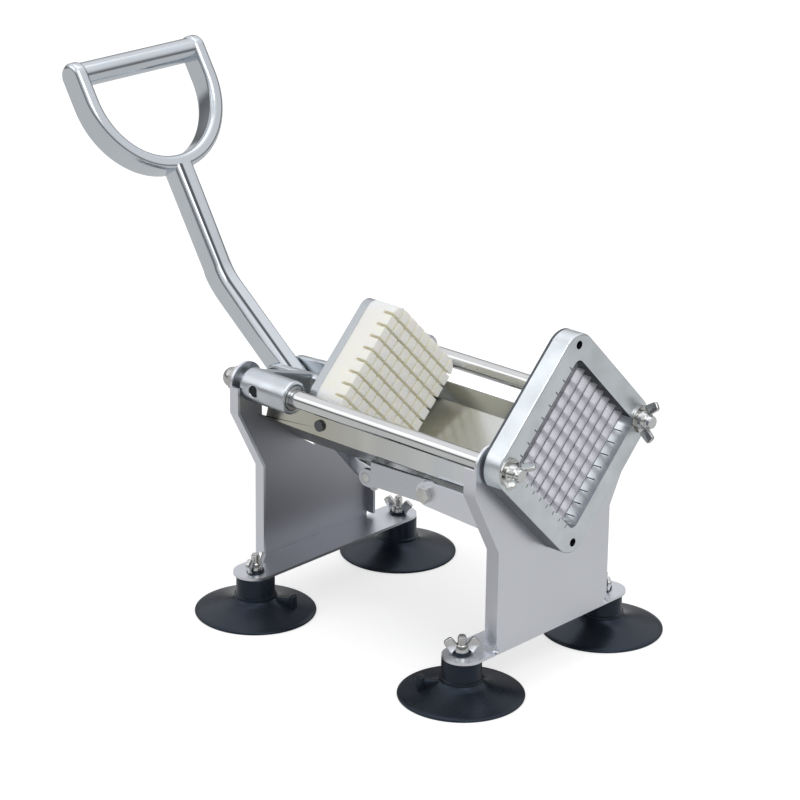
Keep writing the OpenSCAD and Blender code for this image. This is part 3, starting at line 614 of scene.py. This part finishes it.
# the rear leg's inner face below the ears and the flanges' inner sides take the darker copy: painted shade
for face in rearLeg.data.polygons:
    onFace = face.normal.x > 0.9 and abs(face.center.x / mm - legs["rearX"]) < 0.3
    onFlange = abs(face.normal.y) > 0.9 and face.center.y * face.normal.y < 0
    if (onFace and face.center.z / mm < legs["earFoot"]) or onFlange:
        face.material_index = 1
seat(rearLeg, "frame", "satin_steel", "rear_leg")

troughSpec = {"bend": 1.6, "bendSegments": 4, "edge": 0.3, "half": 56.5, "lipFoot": 139, "lipNear": 3,
              "level": 0.3, "shortest": 20}


def dressTrough():
    s = troughSpec
    piece = copyNode("trough", "troughSheet")

    def onBend(a, b):
        level = abs(a.z - b.z) < s["level"] and abs(a.x - b.x) > s["shortest"]
        return level and abs(abs(a.y) - s["half"]) < 2 * hair and abs(a.z - s["lipFoot"]) < s["lipNear"]

    editEdges(piece, onBend)
    bevelPicked(s["bend"], s["bendSegments"])
    roundEdges(piece, s["edge"], 2, 50)
    evenShade(piece)
    setFinish(piece, "trough")
    return seat(piece, "frame", "satin_steel", "trough")


dressTrough()

linkSpec = {"edge": 0.4}
for side in ("near", "far"):
    dressPlain("link_" + side, "link_" + side + "_strap", "links", "link_steel", "link", linkSpec["edge"])

headSpec = {"faceX": 127, "depth": 17, "side": 117.925, "inside": 0.06, "cornerR": 17, "cornerSegments": 14,
            "rim": 1.5, "rimSegments": 3, "wall": 8, "centreZ": 164.8, "dowelZ": 69.004, "dowelR": 2.9,
            "sink": 0.8}


def headForm():
    # the head's outer form: a square bar on its corner, with round corners and a softened front rim
    s = headSpec
    side = s["side"] - s["inside"]
    form = boxAt("headForm", (s["depth"], side, side), (s["faceX"] - s["depth"] / 2, 0, 0))
    editEdges(form, lambda a, b: abs(a.x - b.x) > s["depth"] / 2)
    bevelPicked(s["cornerR"], s["cornerSegments"])
    editEdges(form, lambda a, b: min(a.x, b.x) > s["faceX"] - 2 * hair)
    bevelPicked(s["rim"], s["rimSegments"])
    form.data.transform(placeMatrix((0, 0, s["centreZ"]), [(45, "X")]))
    return form


def dowelSink(sign):
    # a cone that opens the dowel hole at the face
    s = headSpec
    clearSelection()
    bpy.ops.mesh.primitive_cone_add(vertices=48, radius1=(s["dowelR"] - s["sink"]) * mm,
                                    radius2=(s["dowelR"] + s["sink"]) * mm, depth=2 * s["sink"] * mm)
    cone = bpy.context.object
    place = (s["faceX"], 0, s["centreZ"] + sign * s["dowelZ"])
    cone.data.transform(placeMatrix(place, [(90, "Y")]))
    return cone


def dressHolder():
    s = headSpec
    piece = copyNode("blade_holder", "bladeHolder")
    cutBy(piece, headForm(), "INTERSECT")
    for sign in (-1, 1):
        cutBy(piece, dowelSink(sign), "DIFFERENCE")
    evenShade(piece, 30)
    setFinish(piece, "cast", "holePaintedShade", "castPaintedShadeWall", "castPaintedShadeUnder")
    for face in piece.data.polygons:
        x, y, z = face.center / mm
        z -= s["centreZ"]
        aside = min(math.hypot(y, z - s["dowelZ"]), math.hypot(y, z + s["dowelZ"]))
        behindSink = x < s["faceX"] - s["sink"] and abs(face.normal.x) < 0.5
        # the dowel holes' walls behind the countersinks take painted shade
        if aside < s["dowelR"] + 4 * hair and behindSink:
            face.material_index = 1
        inOpening = (abs(y) + abs(z)) / math.sqrt(2) < s["side"] / 2 - s["wall"]
        facesDown = face.normal.y < -0.6 and face.normal.z < -0.6
        # the opening's wall on the far side that faces down and near takes painted shade
        if inOpening and facesDown and y > 0:
            face.material_index = 2
        # outer faces that face down and near take painted shade
        elif not inOpening and facesDown:
            face.material_index = 3
    return seat(piece, "frame", "cast_aluminium", "blade_holder")


dressHolder()


def dressBackPlate():
    piece = copyNode("head_back_plate", "headBackPlate")
    evenShade(piece)
    setFinish(piece, "sheet", "backRimPaintedShade")
    # the plate's rim faces take painted shade
    for face in piece.data.polygons:
        if abs(face.normal.x) < 0.5:
            face.material_index = 1
    return seat(piece, "frame", "satin_steel", "head_back_plate")


dressBackPlate()


def dressBlades(nodeName, pieceName, *names):
    # names are the finishes of the broad sides, the front edges and the side next to the wall; the front
    # edges carry a painted dark line or a painted highlight
    piece = copyNode(nodeName, pieceName)
    setFinish(piece, *names)
    spread = [(face.center.z - face.center.y) / mm for face in piece.data.polygons]
    for face, place in zip(piece.data.polygons, spread):
        nextToWall = place > max(spread) - 2 and face.normal.z > 0.6 and face.normal.y < -0.6
        # front edges take the second finish: a painted dark line or a painted highlight
        if face.normal.x > 0.9:
            face.material_index = 1
        # the broad side next to the wall takes the third finish: painted shade
        elif nextToWall and len(names) > 2:
            face.material_index = 2
    return seat(piece, "frame", "blade_steel", nodeName)


dressBlades("blades_front", "bladesFront", "blade", "bladeEdge", "bladeWallShade")
dressBlades("blades_rear", "bladesRear", "bladeRear", "bladeRearEdge")

carriageSpec = {"voxel": 0.9, "smooth": 5, "factor": 0.5, "shade": 60}


def dressCarriage():
    s = carriageSpec
    piece = copyNode("carriage", "carriageCasting")
    applyModifier(piece, "cast", "REMESH", mode="VOXEL", voxel_size=s["voxel"] * mm)
    applyModifier(piece, "fettle", "SMOOTH", iterations=s["smooth"], factor=s["factor"])
    softShade(piece, s["shade"])
    setFinish(piece, "carriage")
    return seat(piece, "carriage", "cast_aluminium", "carriage")


dressCarriage()

pusherSpec = {"plateEdge": 0.6, "pegEdge": 0.55, "rootX": -39, "centreZ": 164.8, "half": 42.4,
              "skin": 0.5}


def dressPusher():
    s = pusherSpec
    dressPlain("pusher_back_plate", "pusherPlate", "carriage", "satin_steel", "plate", s["plateEdge"])
    block = copyNode("pusher_block", "pusherBlock")
    roundEdges(block, s["pegEdge"], 2)
    evenShade(block)
    setFinish(block, "plasticBase", "plastic", "plasticGroove")
    for face in block.data.polygons:
        x, y, z = face.center / mm
        aside = max(abs(y + z - s["centreZ"]), abs(z - y - s["centreZ"])) / math.sqrt(2)
        inGroove = abs(face.normal.x) < 0.3 and aside < s["half"] - s["skin"]
        # groove sides and the face between the pegs' roots take the groove finish: painted shade
        if x > s["rootX"] + 4 * hair:
            face.material_index = 2 if inGroove else 1
        elif abs(x - s["rootX"]) < 2 * hair and face.normal.x > 0.9:
            face.material_index = 2
    return seat(block, "carriage", "white_plastic", "pusher_block")


dressPusher()

# front, rear and short are the edge rounds of the long arm's two sides and of the short arm
leverSpec = {"pin": (-134.5, 147.0), "eye": (-46.94, 96.86), "holeR": 6.3, "half": 8.5, "front": 5.6,
             "rear": 3.2, "short": 2.4, "roundSegments": 5, "merge": 0.06, "lean": 141, "topLean": 121.2,
             "topZ": 262, "endZ": 268, "intoRing": (-1.8, 0, 3.0)}
gripSpec = {"edge": 3.8, "roundSegments": 4, "sharp": 50, "barPoint": (-290.14, 344.53), "holeR": 8.95,
            "barIn": 0.03}


def dressLever():
    s = leverSpec
    bar = copyNode("lever_bar", "leverBar", s["merge"])
    lean, topLean = math.radians(s["lean"]), math.radians(s["topLean"])
    along = Vector((math.cos(lean), 0, math.sin(lean)))
    across = Vector((math.sin(lean), 0, -math.cos(lean)))
    top = Vector((math.cos(topLean), 0, math.sin(topLean)))
    pin = Vector((s["pin"][0], 0, s["pin"][1]))
    closeHoles(bar, (s["pin"], s["eye"]), s["holeR"])

    def share(a, b):
        middle = (a + b) / 2
        fromPin = Vector((middle.x, 0, middle.z)) - pin
        alongSide = abs(a.y - b.y) < hair and abs(abs(a.y) - s["half"]) < hair
        onEnd = middle.z > s["topZ"] and abs((b - a).normalized().dot(top)) < 0.3
        if not alongSide or onEnd:
            return 0
        if fromPin.dot(along) < 0.5:
            return s["short"] / s["front"]
        return 1 if fromPin.dot(across) > 0 else s["rear"] / s["front"]

    roundByWeight(bar, s["front"], s["roundSegments"], share)
    editFaces(bar, lambda centre, normal: centre.z > s["endZ"] and normal.z > 0.5)
    bpy.ops.transform.translate(value=Vector(s["intoRing"]) * mm)
    objectMode()
    evenShade(bar, 40)
    setFinish(bar, "lever")
    seat(bar, "lever", "lever_steel", "lever_bar")
    dressGrip()


def dressGrip():
    # the bar's ends are welded in and ground flush, so its holes in the ring are closed
    s = gripSpec
    ring = copyNode("grip_frame", "gripFrame")
    closeHoles(ring, (s["barPoint"],), s["holeR"])
    normals = {}
    for face in ring.data.polygons:
        for key in face.edge_keys:
            normals.setdefault(key, []).append(face.normal)
    points = [(v.co / mm).freeze() for v in ring.data.vertices]
    sharp = set()
    for key, pair in normals.items():
        if len(pair) == 2 and pair[0].angle(pair[1]) > math.radians(s["sharp"]):
            sharp.update({(points[key[0]], points[key[1]]), (points[key[1]], points[key[0]])})

    def share(a, b):
        return 1 if (a.freeze(), b.freeze()) in sharp else 0

    roundByWeight(ring, s["edge"], s["roundSegments"], share)
    evenShade(ring)
    setFinish(ring, "grip")
    seat(ring, "lever", "lever_steel", "grip_frame")
    bar = copyNode("grip_bar", "gripBar")
    editAll(bar)
    bpy.ops.transform.resize(value=(1, 1 - s["barIn"], 1))
    objectMode()
    evenShade(bar)
    setFinish(bar, "grip")
    return seat(bar, "lever", "lever_steel", "grip_bar")


dressLever()

rodSpec = {"r": 6, "endR": 5, "rearR": 4.5, "inner": 110, "rear": -122, "front": 138, "y": 66.704,
           "z": 164.8, "pitch": 1.5, "steps": 48}


def makeRods():
    s = rodSpec
    side = [(0, s["rear"]), (s["rearR"], s["rear"]), (s["rearR"], -s["inner"]), (s["r"], -s["inner"]),
            (s["r"], s["inner"])]
    thread = threadOutline(s["endR"], s["inner"], s["front"], s["pitch"])
    rod = lathe("guideRod", side + thread, s["steps"])
    pair = [duplicateAt(rod, placeMatrix((0, y, s["z"]), [(90, "Y")])) for y in (-s["y"], s["y"])]
    bpy.data.objects.remove(rod)
    rods = joinPieces(pair, "guideRods")
    softShade(rods, 35)
    setFinish(rods, "rod")
    return seat(rods, "frame", "bright_steel", "guide_rods")


makeRods()

feet = {"x": 96, "y": 73.2, "nutZ": 31.6}
# the wings lean out, and root is how much thicker they are at the hub; the hub's cone is given in
# shares of its radius, from foot to top
wingSpec = {"thick": 2.8, "half": 3.3, "corner": 1.8, "cornerSegments": 5, "lean": 36, "long": 9.5,
            "root": 1.25, "rootWide": 1.1, "edge": 0.6, "chamfer": 0.3, "mouth": 0.4,
            "cone": (0.98, 0.84, 0.78, 0.74)}
nutSpecs = {
    "head": {"span": 28.5, "hubR": 6.5, "hubH": 6.0, "wingH": 12.0, "boreR": 5.05},
    "foot": {"span": 24, "hubR": 4.95, "hubH": 5.25, "wingH": 10.0, "boreR": 3.05},
}
nutX = 128.6     # the head nuts' seat on their washers


def hubOutline(n):
    s = wingSpec
    r, h, boreR = n["hubR"], n["hubH"], n["boreR"]
    low, shoulder, crown, top = [r * share for share in s["cone"]]
    foot = [(boreR, 0), (r - s["chamfer"], 0), (r, s["chamfer"])]
    cone = [(low, h * 0.3), (shoulder, h - 0.7), (crown, h - 0.2), (top, h)]
    bore = [(boreR + s["mouth"], h), (boreR, h - s["mouth"]), (boreR, 0)]
    return foot + cone + bore


def makeWingNut(name, n):
    # one nut that stands on z = 0 with its wings along X
    s = wingSpec
    hub = lathe(name + "Hub", hubOutline(n), 48)
    wing = boxAt(name + "Wing", (2 * s["half"], s["thick"], s["long"]), (0, 0, -s["long"] / 2))
    editEdges(wing, lambda a, b: min(a.z, b.z) > -2 * hair and abs(a.x - b.x) < 2 * hair)
    bevelPicked(s["corner"], s["cornerSegments"])
    editFaces(wing, lambda centre, normal: normal.z < -0.9)
    bpy.ops.transform.resize(value=(s["rootWide"], s["root"], 1))
    objectMode()
    roundEdges(wing, s["edge"], 3, 40)
    lean = math.radians(s["lean"])
    reach = s["half"] - s["corner"]
    tip = (n["span"] / 2 - s["corner"] - reach * math.cos(lean) + s["corner"] * math.sin(lean), 0,
           n["wingH"] - s["corner"] - reach * math.sin(lean) + s["corner"] * math.cos(lean))
    wing.data.transform(placeMatrix(tip, [(s["lean"], "Y")]))
    other = duplicateAt(wing, placeMatrix((0, 0, 0), [(180, "Z")]))
    nut = joinPieces([hub, wing, other], name)
    softShade(nut, 40)
    return nut


headNut = makeWingNut("headNutModel", nutSpecs["head"])
footNut = makeWingNut("footNutModel", nutSpecs["foot"])
wingNuts = {
    "foot_nut_rear_near": (footNut, (-feet["x"], -feet["y"], feet["nutZ"]), [(-75, "Z")]),
    "foot_nut_rear_far": (footNut, (-feet["x"], feet["y"], feet["nutZ"]), [(8, "Z")]),
    "foot_nut_front_near": (footNut, (feet["x"], -feet["y"], feet["nutZ"]), [(48, "Z")]),
    "foot_nut_front_far": (footNut, (feet["x"], feet["y"], feet["nutZ"]), [(-28, "Z")]),
    "head_nut_near": (headNut, (nutX, -rodSpec["y"], rodSpec["z"]), [(110, "Z"), (90, "Y")]),
    "head_nut_far": (headNut, (nutX, rodSpec["y"], rodSpec["z"]), [(167, "Z"), (90, "Y")]),
}
for nodeName, (model, place, turns) in wingNuts.items():
    nut = duplicateAt(model, placeMatrix(place, turns))
    nut.name = nodeName + "_wing"
    setFinish(nut, "nut")
    seat(nut, nodeName, "zinc", nodeName)
bpy.data.objects.remove(headNut)
bpy.data.objects.remove(footNut)

studSpec = {"r": 3, "low": 12, "high": 43, "pitch": 1.0, "depth": 0.45, "steps": 32}


def makeStuds():
    s = studSpec
    thread = threadOutline(s["r"], s["low"], s["high"], s["pitch"], s["depth"])
    stud = lathe("studModel", [(0, s["low"])] + thread, s["steps"])
    places = [(sx * feet["x"], sy * feet["y"], 0) for sx in (-1, 1) for sy in (-1, 1)]
    four = [duplicateAt(stud, placeMatrix(place)) for place in places]
    bpy.data.objects.remove(stud)
    studs = joinPieces(four, "cupStuds")
    softShade(studs, 35)
    setFinish(studs, "zinc")
    return seat(studs, "frame", "zinc", "cup_studs")


makeStuds()

# each small part's body, finish, edge round in mm and slot
smallParts = {
    "rod_rear_nuts": ("frame", "zinc", 0.5, "zinc"),
    "cup_washers": ("frame", "rubber", 0.25, "black_rubber"),
    "head_washers": ("frame", "zinc", 0.3, "zinc"),
    "trough_screws": ("frame", "darkZinc", 0.5, "zinc"),
    "link_front_bolts": ("frame", "zinc", 0.5, "zinc"),
    "link_front_nuts": ("frame", "zinc", 0.4, "zinc"),
    "link_rivets": ("links", "zinc", 0.3, "zinc"),
    "pusher_nuts": ("carriage", "zinc", 0.4, "zinc"),
    "pusher_studs": ("carriage", "zinc", 0.3, "zinc"),
    "lever_pin": ("carriage", "zinc", 0.5, "zinc"),
    "pin_clips": ("carriage", "darkZinc", 0.2, "zinc"),
    "lever_sleeve": ("lever", "zinc", 0.2, "zinc"),
    "rod_bushes": ("carriage", "bush", 0.3, "bush_metal"),
    # the boss screws wear the dark hole finish: painted shade in their holes
    "boss_screws": ("carriage", "holePaintedShade", 0.3, "zinc"),
}
for nodeName, (body, finish, edge, slotName) in smallParts.items():
    dressPlain(nodeName, nodeName + "_dressed", body, slotName, finish, edge, 45)

# a cup's section, in (radius, height): hollow from the middle out, lip, dome, bead and neck
cupSpec = {"r": 42.5, "lip": 0.9, "steps": 96,
           "hollow": [(0, 4.1), (12, 4.1), (22, 3.6), (30, 2.4), (36, 1.2), (39.4, 0.3), (39.9, 0)],
           "dome": [(39, 2.5), (34, 3.9), (28, 5.6), (23, 7.2), (19, 8.9), (16.6, 10.2)],
           "bead": [(15.6, 11.2), (14.8, 11.9), (14.9, 13.0), (14.6, 13.9), (13.8, 14.3)],
           "neck": [(13.5, 15.2), (13.5, 26.8), (13.2, 27.6), (12.6, 28), (0, 28)],
           "turns": {(-1, -1): 28, (-1, 1): 132, (1, -1): 229, (1, 1): 132}}
# the lift tab and the rib that joins it to the neck start sunk below low, inside the dome
tabSpec = {"out": 27, "in": 12.5, "low": 6.2, "top": 15, "sunk": 2, "t": 5, "w": 7.5, "rib": 4, "ribTop": 12,
           "taper": (0.8, 0.92, 1), "edge": 1.1}


def makeTab():
    t = tabSpec
    bottom = t["low"] - t["sunk"]
    grip = boxAt("cupTab", (t["t"], t["w"], t["top"] - bottom), (t["out"], 0, (t["top"] + bottom) / 2))
    rib = boxAt("cupRib", (t["out"] - t["in"], t["rib"], t["ribTop"] - bottom),
                ((t["out"] + t["in"]) / 2, 0, (t["ribTop"] + bottom) / 2))
    editFaces(grip, lambda centre, normal: normal.z > 0.9)
    bpy.ops.transform.resize(value=t["taper"])
    objectMode()
    for part in (grip, rib):
        roundEdges(part, t["edge"], 3, 30)
    return joinPieces([grip, rib], "cupTab")


def makeCups():
    s = cupSpec
    lip = arcPoints((s["r"] - s["lip"], s["lip"]), s["lip"], -90, 60, 5)
    model = lathe("cupModel", s["hollow"] + lip + s["dome"] + s["bead"] + s["neck"], s["steps"])
    tab = makeTab()
    cups = []
    for (sx, sy), turn in s["turns"].items():
        place = (sx * feet["x"], sy * feet["y"], 0)
        cups += [duplicateAt(model, placeMatrix(place)), duplicateAt(tab, placeMatrix(place, [(turn, "Z")]))]
    for used in (model, tab):
        bpy.data.objects.remove(used)
    rubber = joinPieces(cups, "suctionCups")
    softShade(rubber, 40)
    setFinish(rubber, "rubber")
    return seat(rubber, "frame", "black_rubber", "suction_cups")


makeCups()
print("pieces dressed")

# the mirror values say how far from the middle, in metres, and how pale metal sees the floor, with a painted
# shadow under the machine
stageSpec = {"size": 30, "floor": (0.8, 0.8, 0.8), "floorRough": 0.8, "floorGlow": 0.52, "sky": 0.55,
             "mirrorNear": 0.10, "mirrorFar": 0.15, "mirrorPaintedShadow": 0.06, "mirrorLight": 0.66}
# heights of the mirrored tent, from the horizon up, with how bright it is there
tentStops = ((0.0, 0.42), (0.06, 0.14), (0.22, 0.24), (0.42, 0.8), (0.7, 1.0))
tentBlue = 1.02


def makeFloor():
    clearSelection()
    bpy.ops.mesh.primitive_plane_add(size=stageSpec["size"], location=(0, 0, 0))
    floor = bpy.context.object
    floor.name = "studioFloor"
    material = bpy.data.materials.new("studioFloor")
    material.use_nodes = True
    nodes, links = material.node_tree.nodes, material.node_tree.links
    shader = nodes["Principled BSDF"]
    shader.inputs["Base Color"].default_value = (*stageSpec["floor"], 1)
    shader.inputs["Roughness"].default_value = stageSpec["floorRough"]
    shader.inputs["Specular IOR Level"].default_value = 0.0
    glow = nodes.new("ShaderNodeEmission")
    rays = nodes.new("ShaderNodeLightPath")
    share = nodes.new("ShaderNodeMath")
    share.operation = "MULTIPLY"
    share.inputs[1].default_value = stageSpec["floorGlow"]
    links.new(rays.outputs["Is Camera Ray"], share.inputs[0])
    links.new(share.outputs[0], glow.inputs["Strength"])
    both = nodes.new("ShaderNodeAddShader")
    links.new(shader.outputs[0], both.inputs[0])
    links.new(glow.outputs[0], both.inputs[1])
    # metal mirrors a floor with a painted shadow under the machine, pale around it
    place = nodes.new("ShaderNodeTexCoord")
    reach = nodes.new("ShaderNodeVectorMath")
    reach.operation = "LENGTH"
    links.new(place.outputs["Object"], reach.inputs[0])
    level = nodes.new("ShaderNodeMapRange")
    for socket, key in (("From Min", "mirrorNear"), ("From Max", "mirrorFar"),
                        ("To Min", "mirrorPaintedShadow"), ("To Max", "mirrorLight")):
        level.inputs[socket].default_value = stageSpec[key]
    links.new(reach.outputs["Value"], level.inputs["Value"])
    mirrored = nodes.new("ShaderNodeEmission")
    links.new(level.outputs["Result"], mirrored.inputs["Strength"])
    seen = nodes.new("ShaderNodeMixShader")
    links.new(rays.outputs["Is Glossy Ray"], seen.inputs[0])
    links.new(both.outputs[0], seen.inputs[1])
    links.new(mirrored.outputs[0], seen.inputs[2])
    links.new(seen.outputs[0], nodes["Material Output"].inputs["Surface"])
    floor.data.materials.append(material)


def makeSky():
    # even light all round, a white background, and a tent with a dark horizon for the metal to mirror
    world = bpy.data.worlds.new("studioSky")
    bpy.context.scene.world = world
    world.use_nodes = True
    nodes, links = world.node_tree.nodes, world.node_tree.links
    lit = nodes["Background"]
    lit.inputs["Color"].default_value = (1, 1, 1, 1)
    lit.inputs["Strength"].default_value = stageSpec["sky"]
    white = nodes.new("ShaderNodeBackground")
    white.inputs["Color"].default_value = (1, 1, 1, 1)
    tent = nodes.new("ShaderNodeBackground")
    place = nodes.new("ShaderNodeTexCoord")
    split = nodes.new("ShaderNodeSeparateXYZ")
    links.new(place.outputs["Generated"], split.inputs[0])
    ramp = nodes.new("ShaderNodeValToRGB")
    links.new(split.outputs["Z"], ramp.inputs[0])
    stops = ramp.color_ramp.elements
    for index, (height, level) in enumerate(tentStops):
        stop = stops[index] if index < 2 else stops.new(height)
        stop.position = height
        stop.color = (level, level, level * tentBlue, 1)
    links.new(ramp.outputs[0], tent.inputs["Color"])
    rays = nodes.new("ShaderNodeLightPath")
    forMetal = nodes.new("ShaderNodeMixShader")
    links.new(rays.outputs["Is Glossy Ray"], forMetal.inputs[0])
    links.new(lit.outputs[0], forMetal.inputs[1])
    links.new(tent.outputs[0], forMetal.inputs[2])
    forCamera = nodes.new("ShaderNodeMixShader")
    links.new(rays.outputs["Is Camera Ray"], forCamera.inputs[0])
    links.new(forMetal.outputs[0], forCamera.inputs[1])
    links.new(white.outputs[0], forCamera.inputs[2])
    links.new(forCamera.outputs[0], nodes["World Output"].inputs["Surface"])


# places and sizes in metres, power in watts; each lamp looks at the middle of the machine
lampSpecs = {
    "keySoftbox": {"place": (2.0, -0.9, 2.6), "size": 1.6, "power": 24},
    "fillSoftbox": {"place": (-1.6, -2.2, 2.0), "size": 2.2, "power": 10},
    "topSoftbox": {"place": (-0.4, 0.6, 3.2), "size": 2.6, "power": 12},
}
lampAim = Vector((0, 0, 0.12))


def makeLamps():
    for name, s in lampSpecs.items():
        clearSelection()
        bpy.ops.object.light_add(type="AREA", location=s["place"])
        lamp = bpy.context.object
        lamp.name = name
        lamp.data.size = s["size"]
        lamp.data.energy = s["power"]
        aim = lampAim - lamp.location
        lamp.rotation_euler = aim.to_track_quat("-Z", "Y").to_euler()


# place in metres, angles in degrees, lens and sensor in mm
cameraSpec = {"place": (1.29566, -1.44889, 0.89134), "yaw": 132.43, "pitch": 20.56, "roll": 0.73,
              "lens": 137.9, "sensor": 36}


def makeCamera():
    s = cameraSpec
    clearSelection()
    bpy.ops.object.camera_add(location=s["place"])
    camera = bpy.context.object
    camera.name = "viewCamera"
    camera.data.lens = s["lens"]
    camera.data.sensor_width = s["sensor"]
    turn = (Matrix.Rotation(math.radians(s["yaw"] - 90), 3, "Z")
            @ Matrix.Rotation(math.radians(90 - s["pitch"]), 3, "X")
            @ Matrix.Rotation(math.radians(s["roll"]), 3, "Z"))
    camera.rotation_euler = turn.to_euler()
    bpy.context.scene.camera = camera


makeFloor()
makeSky()
makeLamps()
makeCamera()
bpy.context.scene.view_settings.view_transform = "Standard"
print("stage, lamps and camera ready")
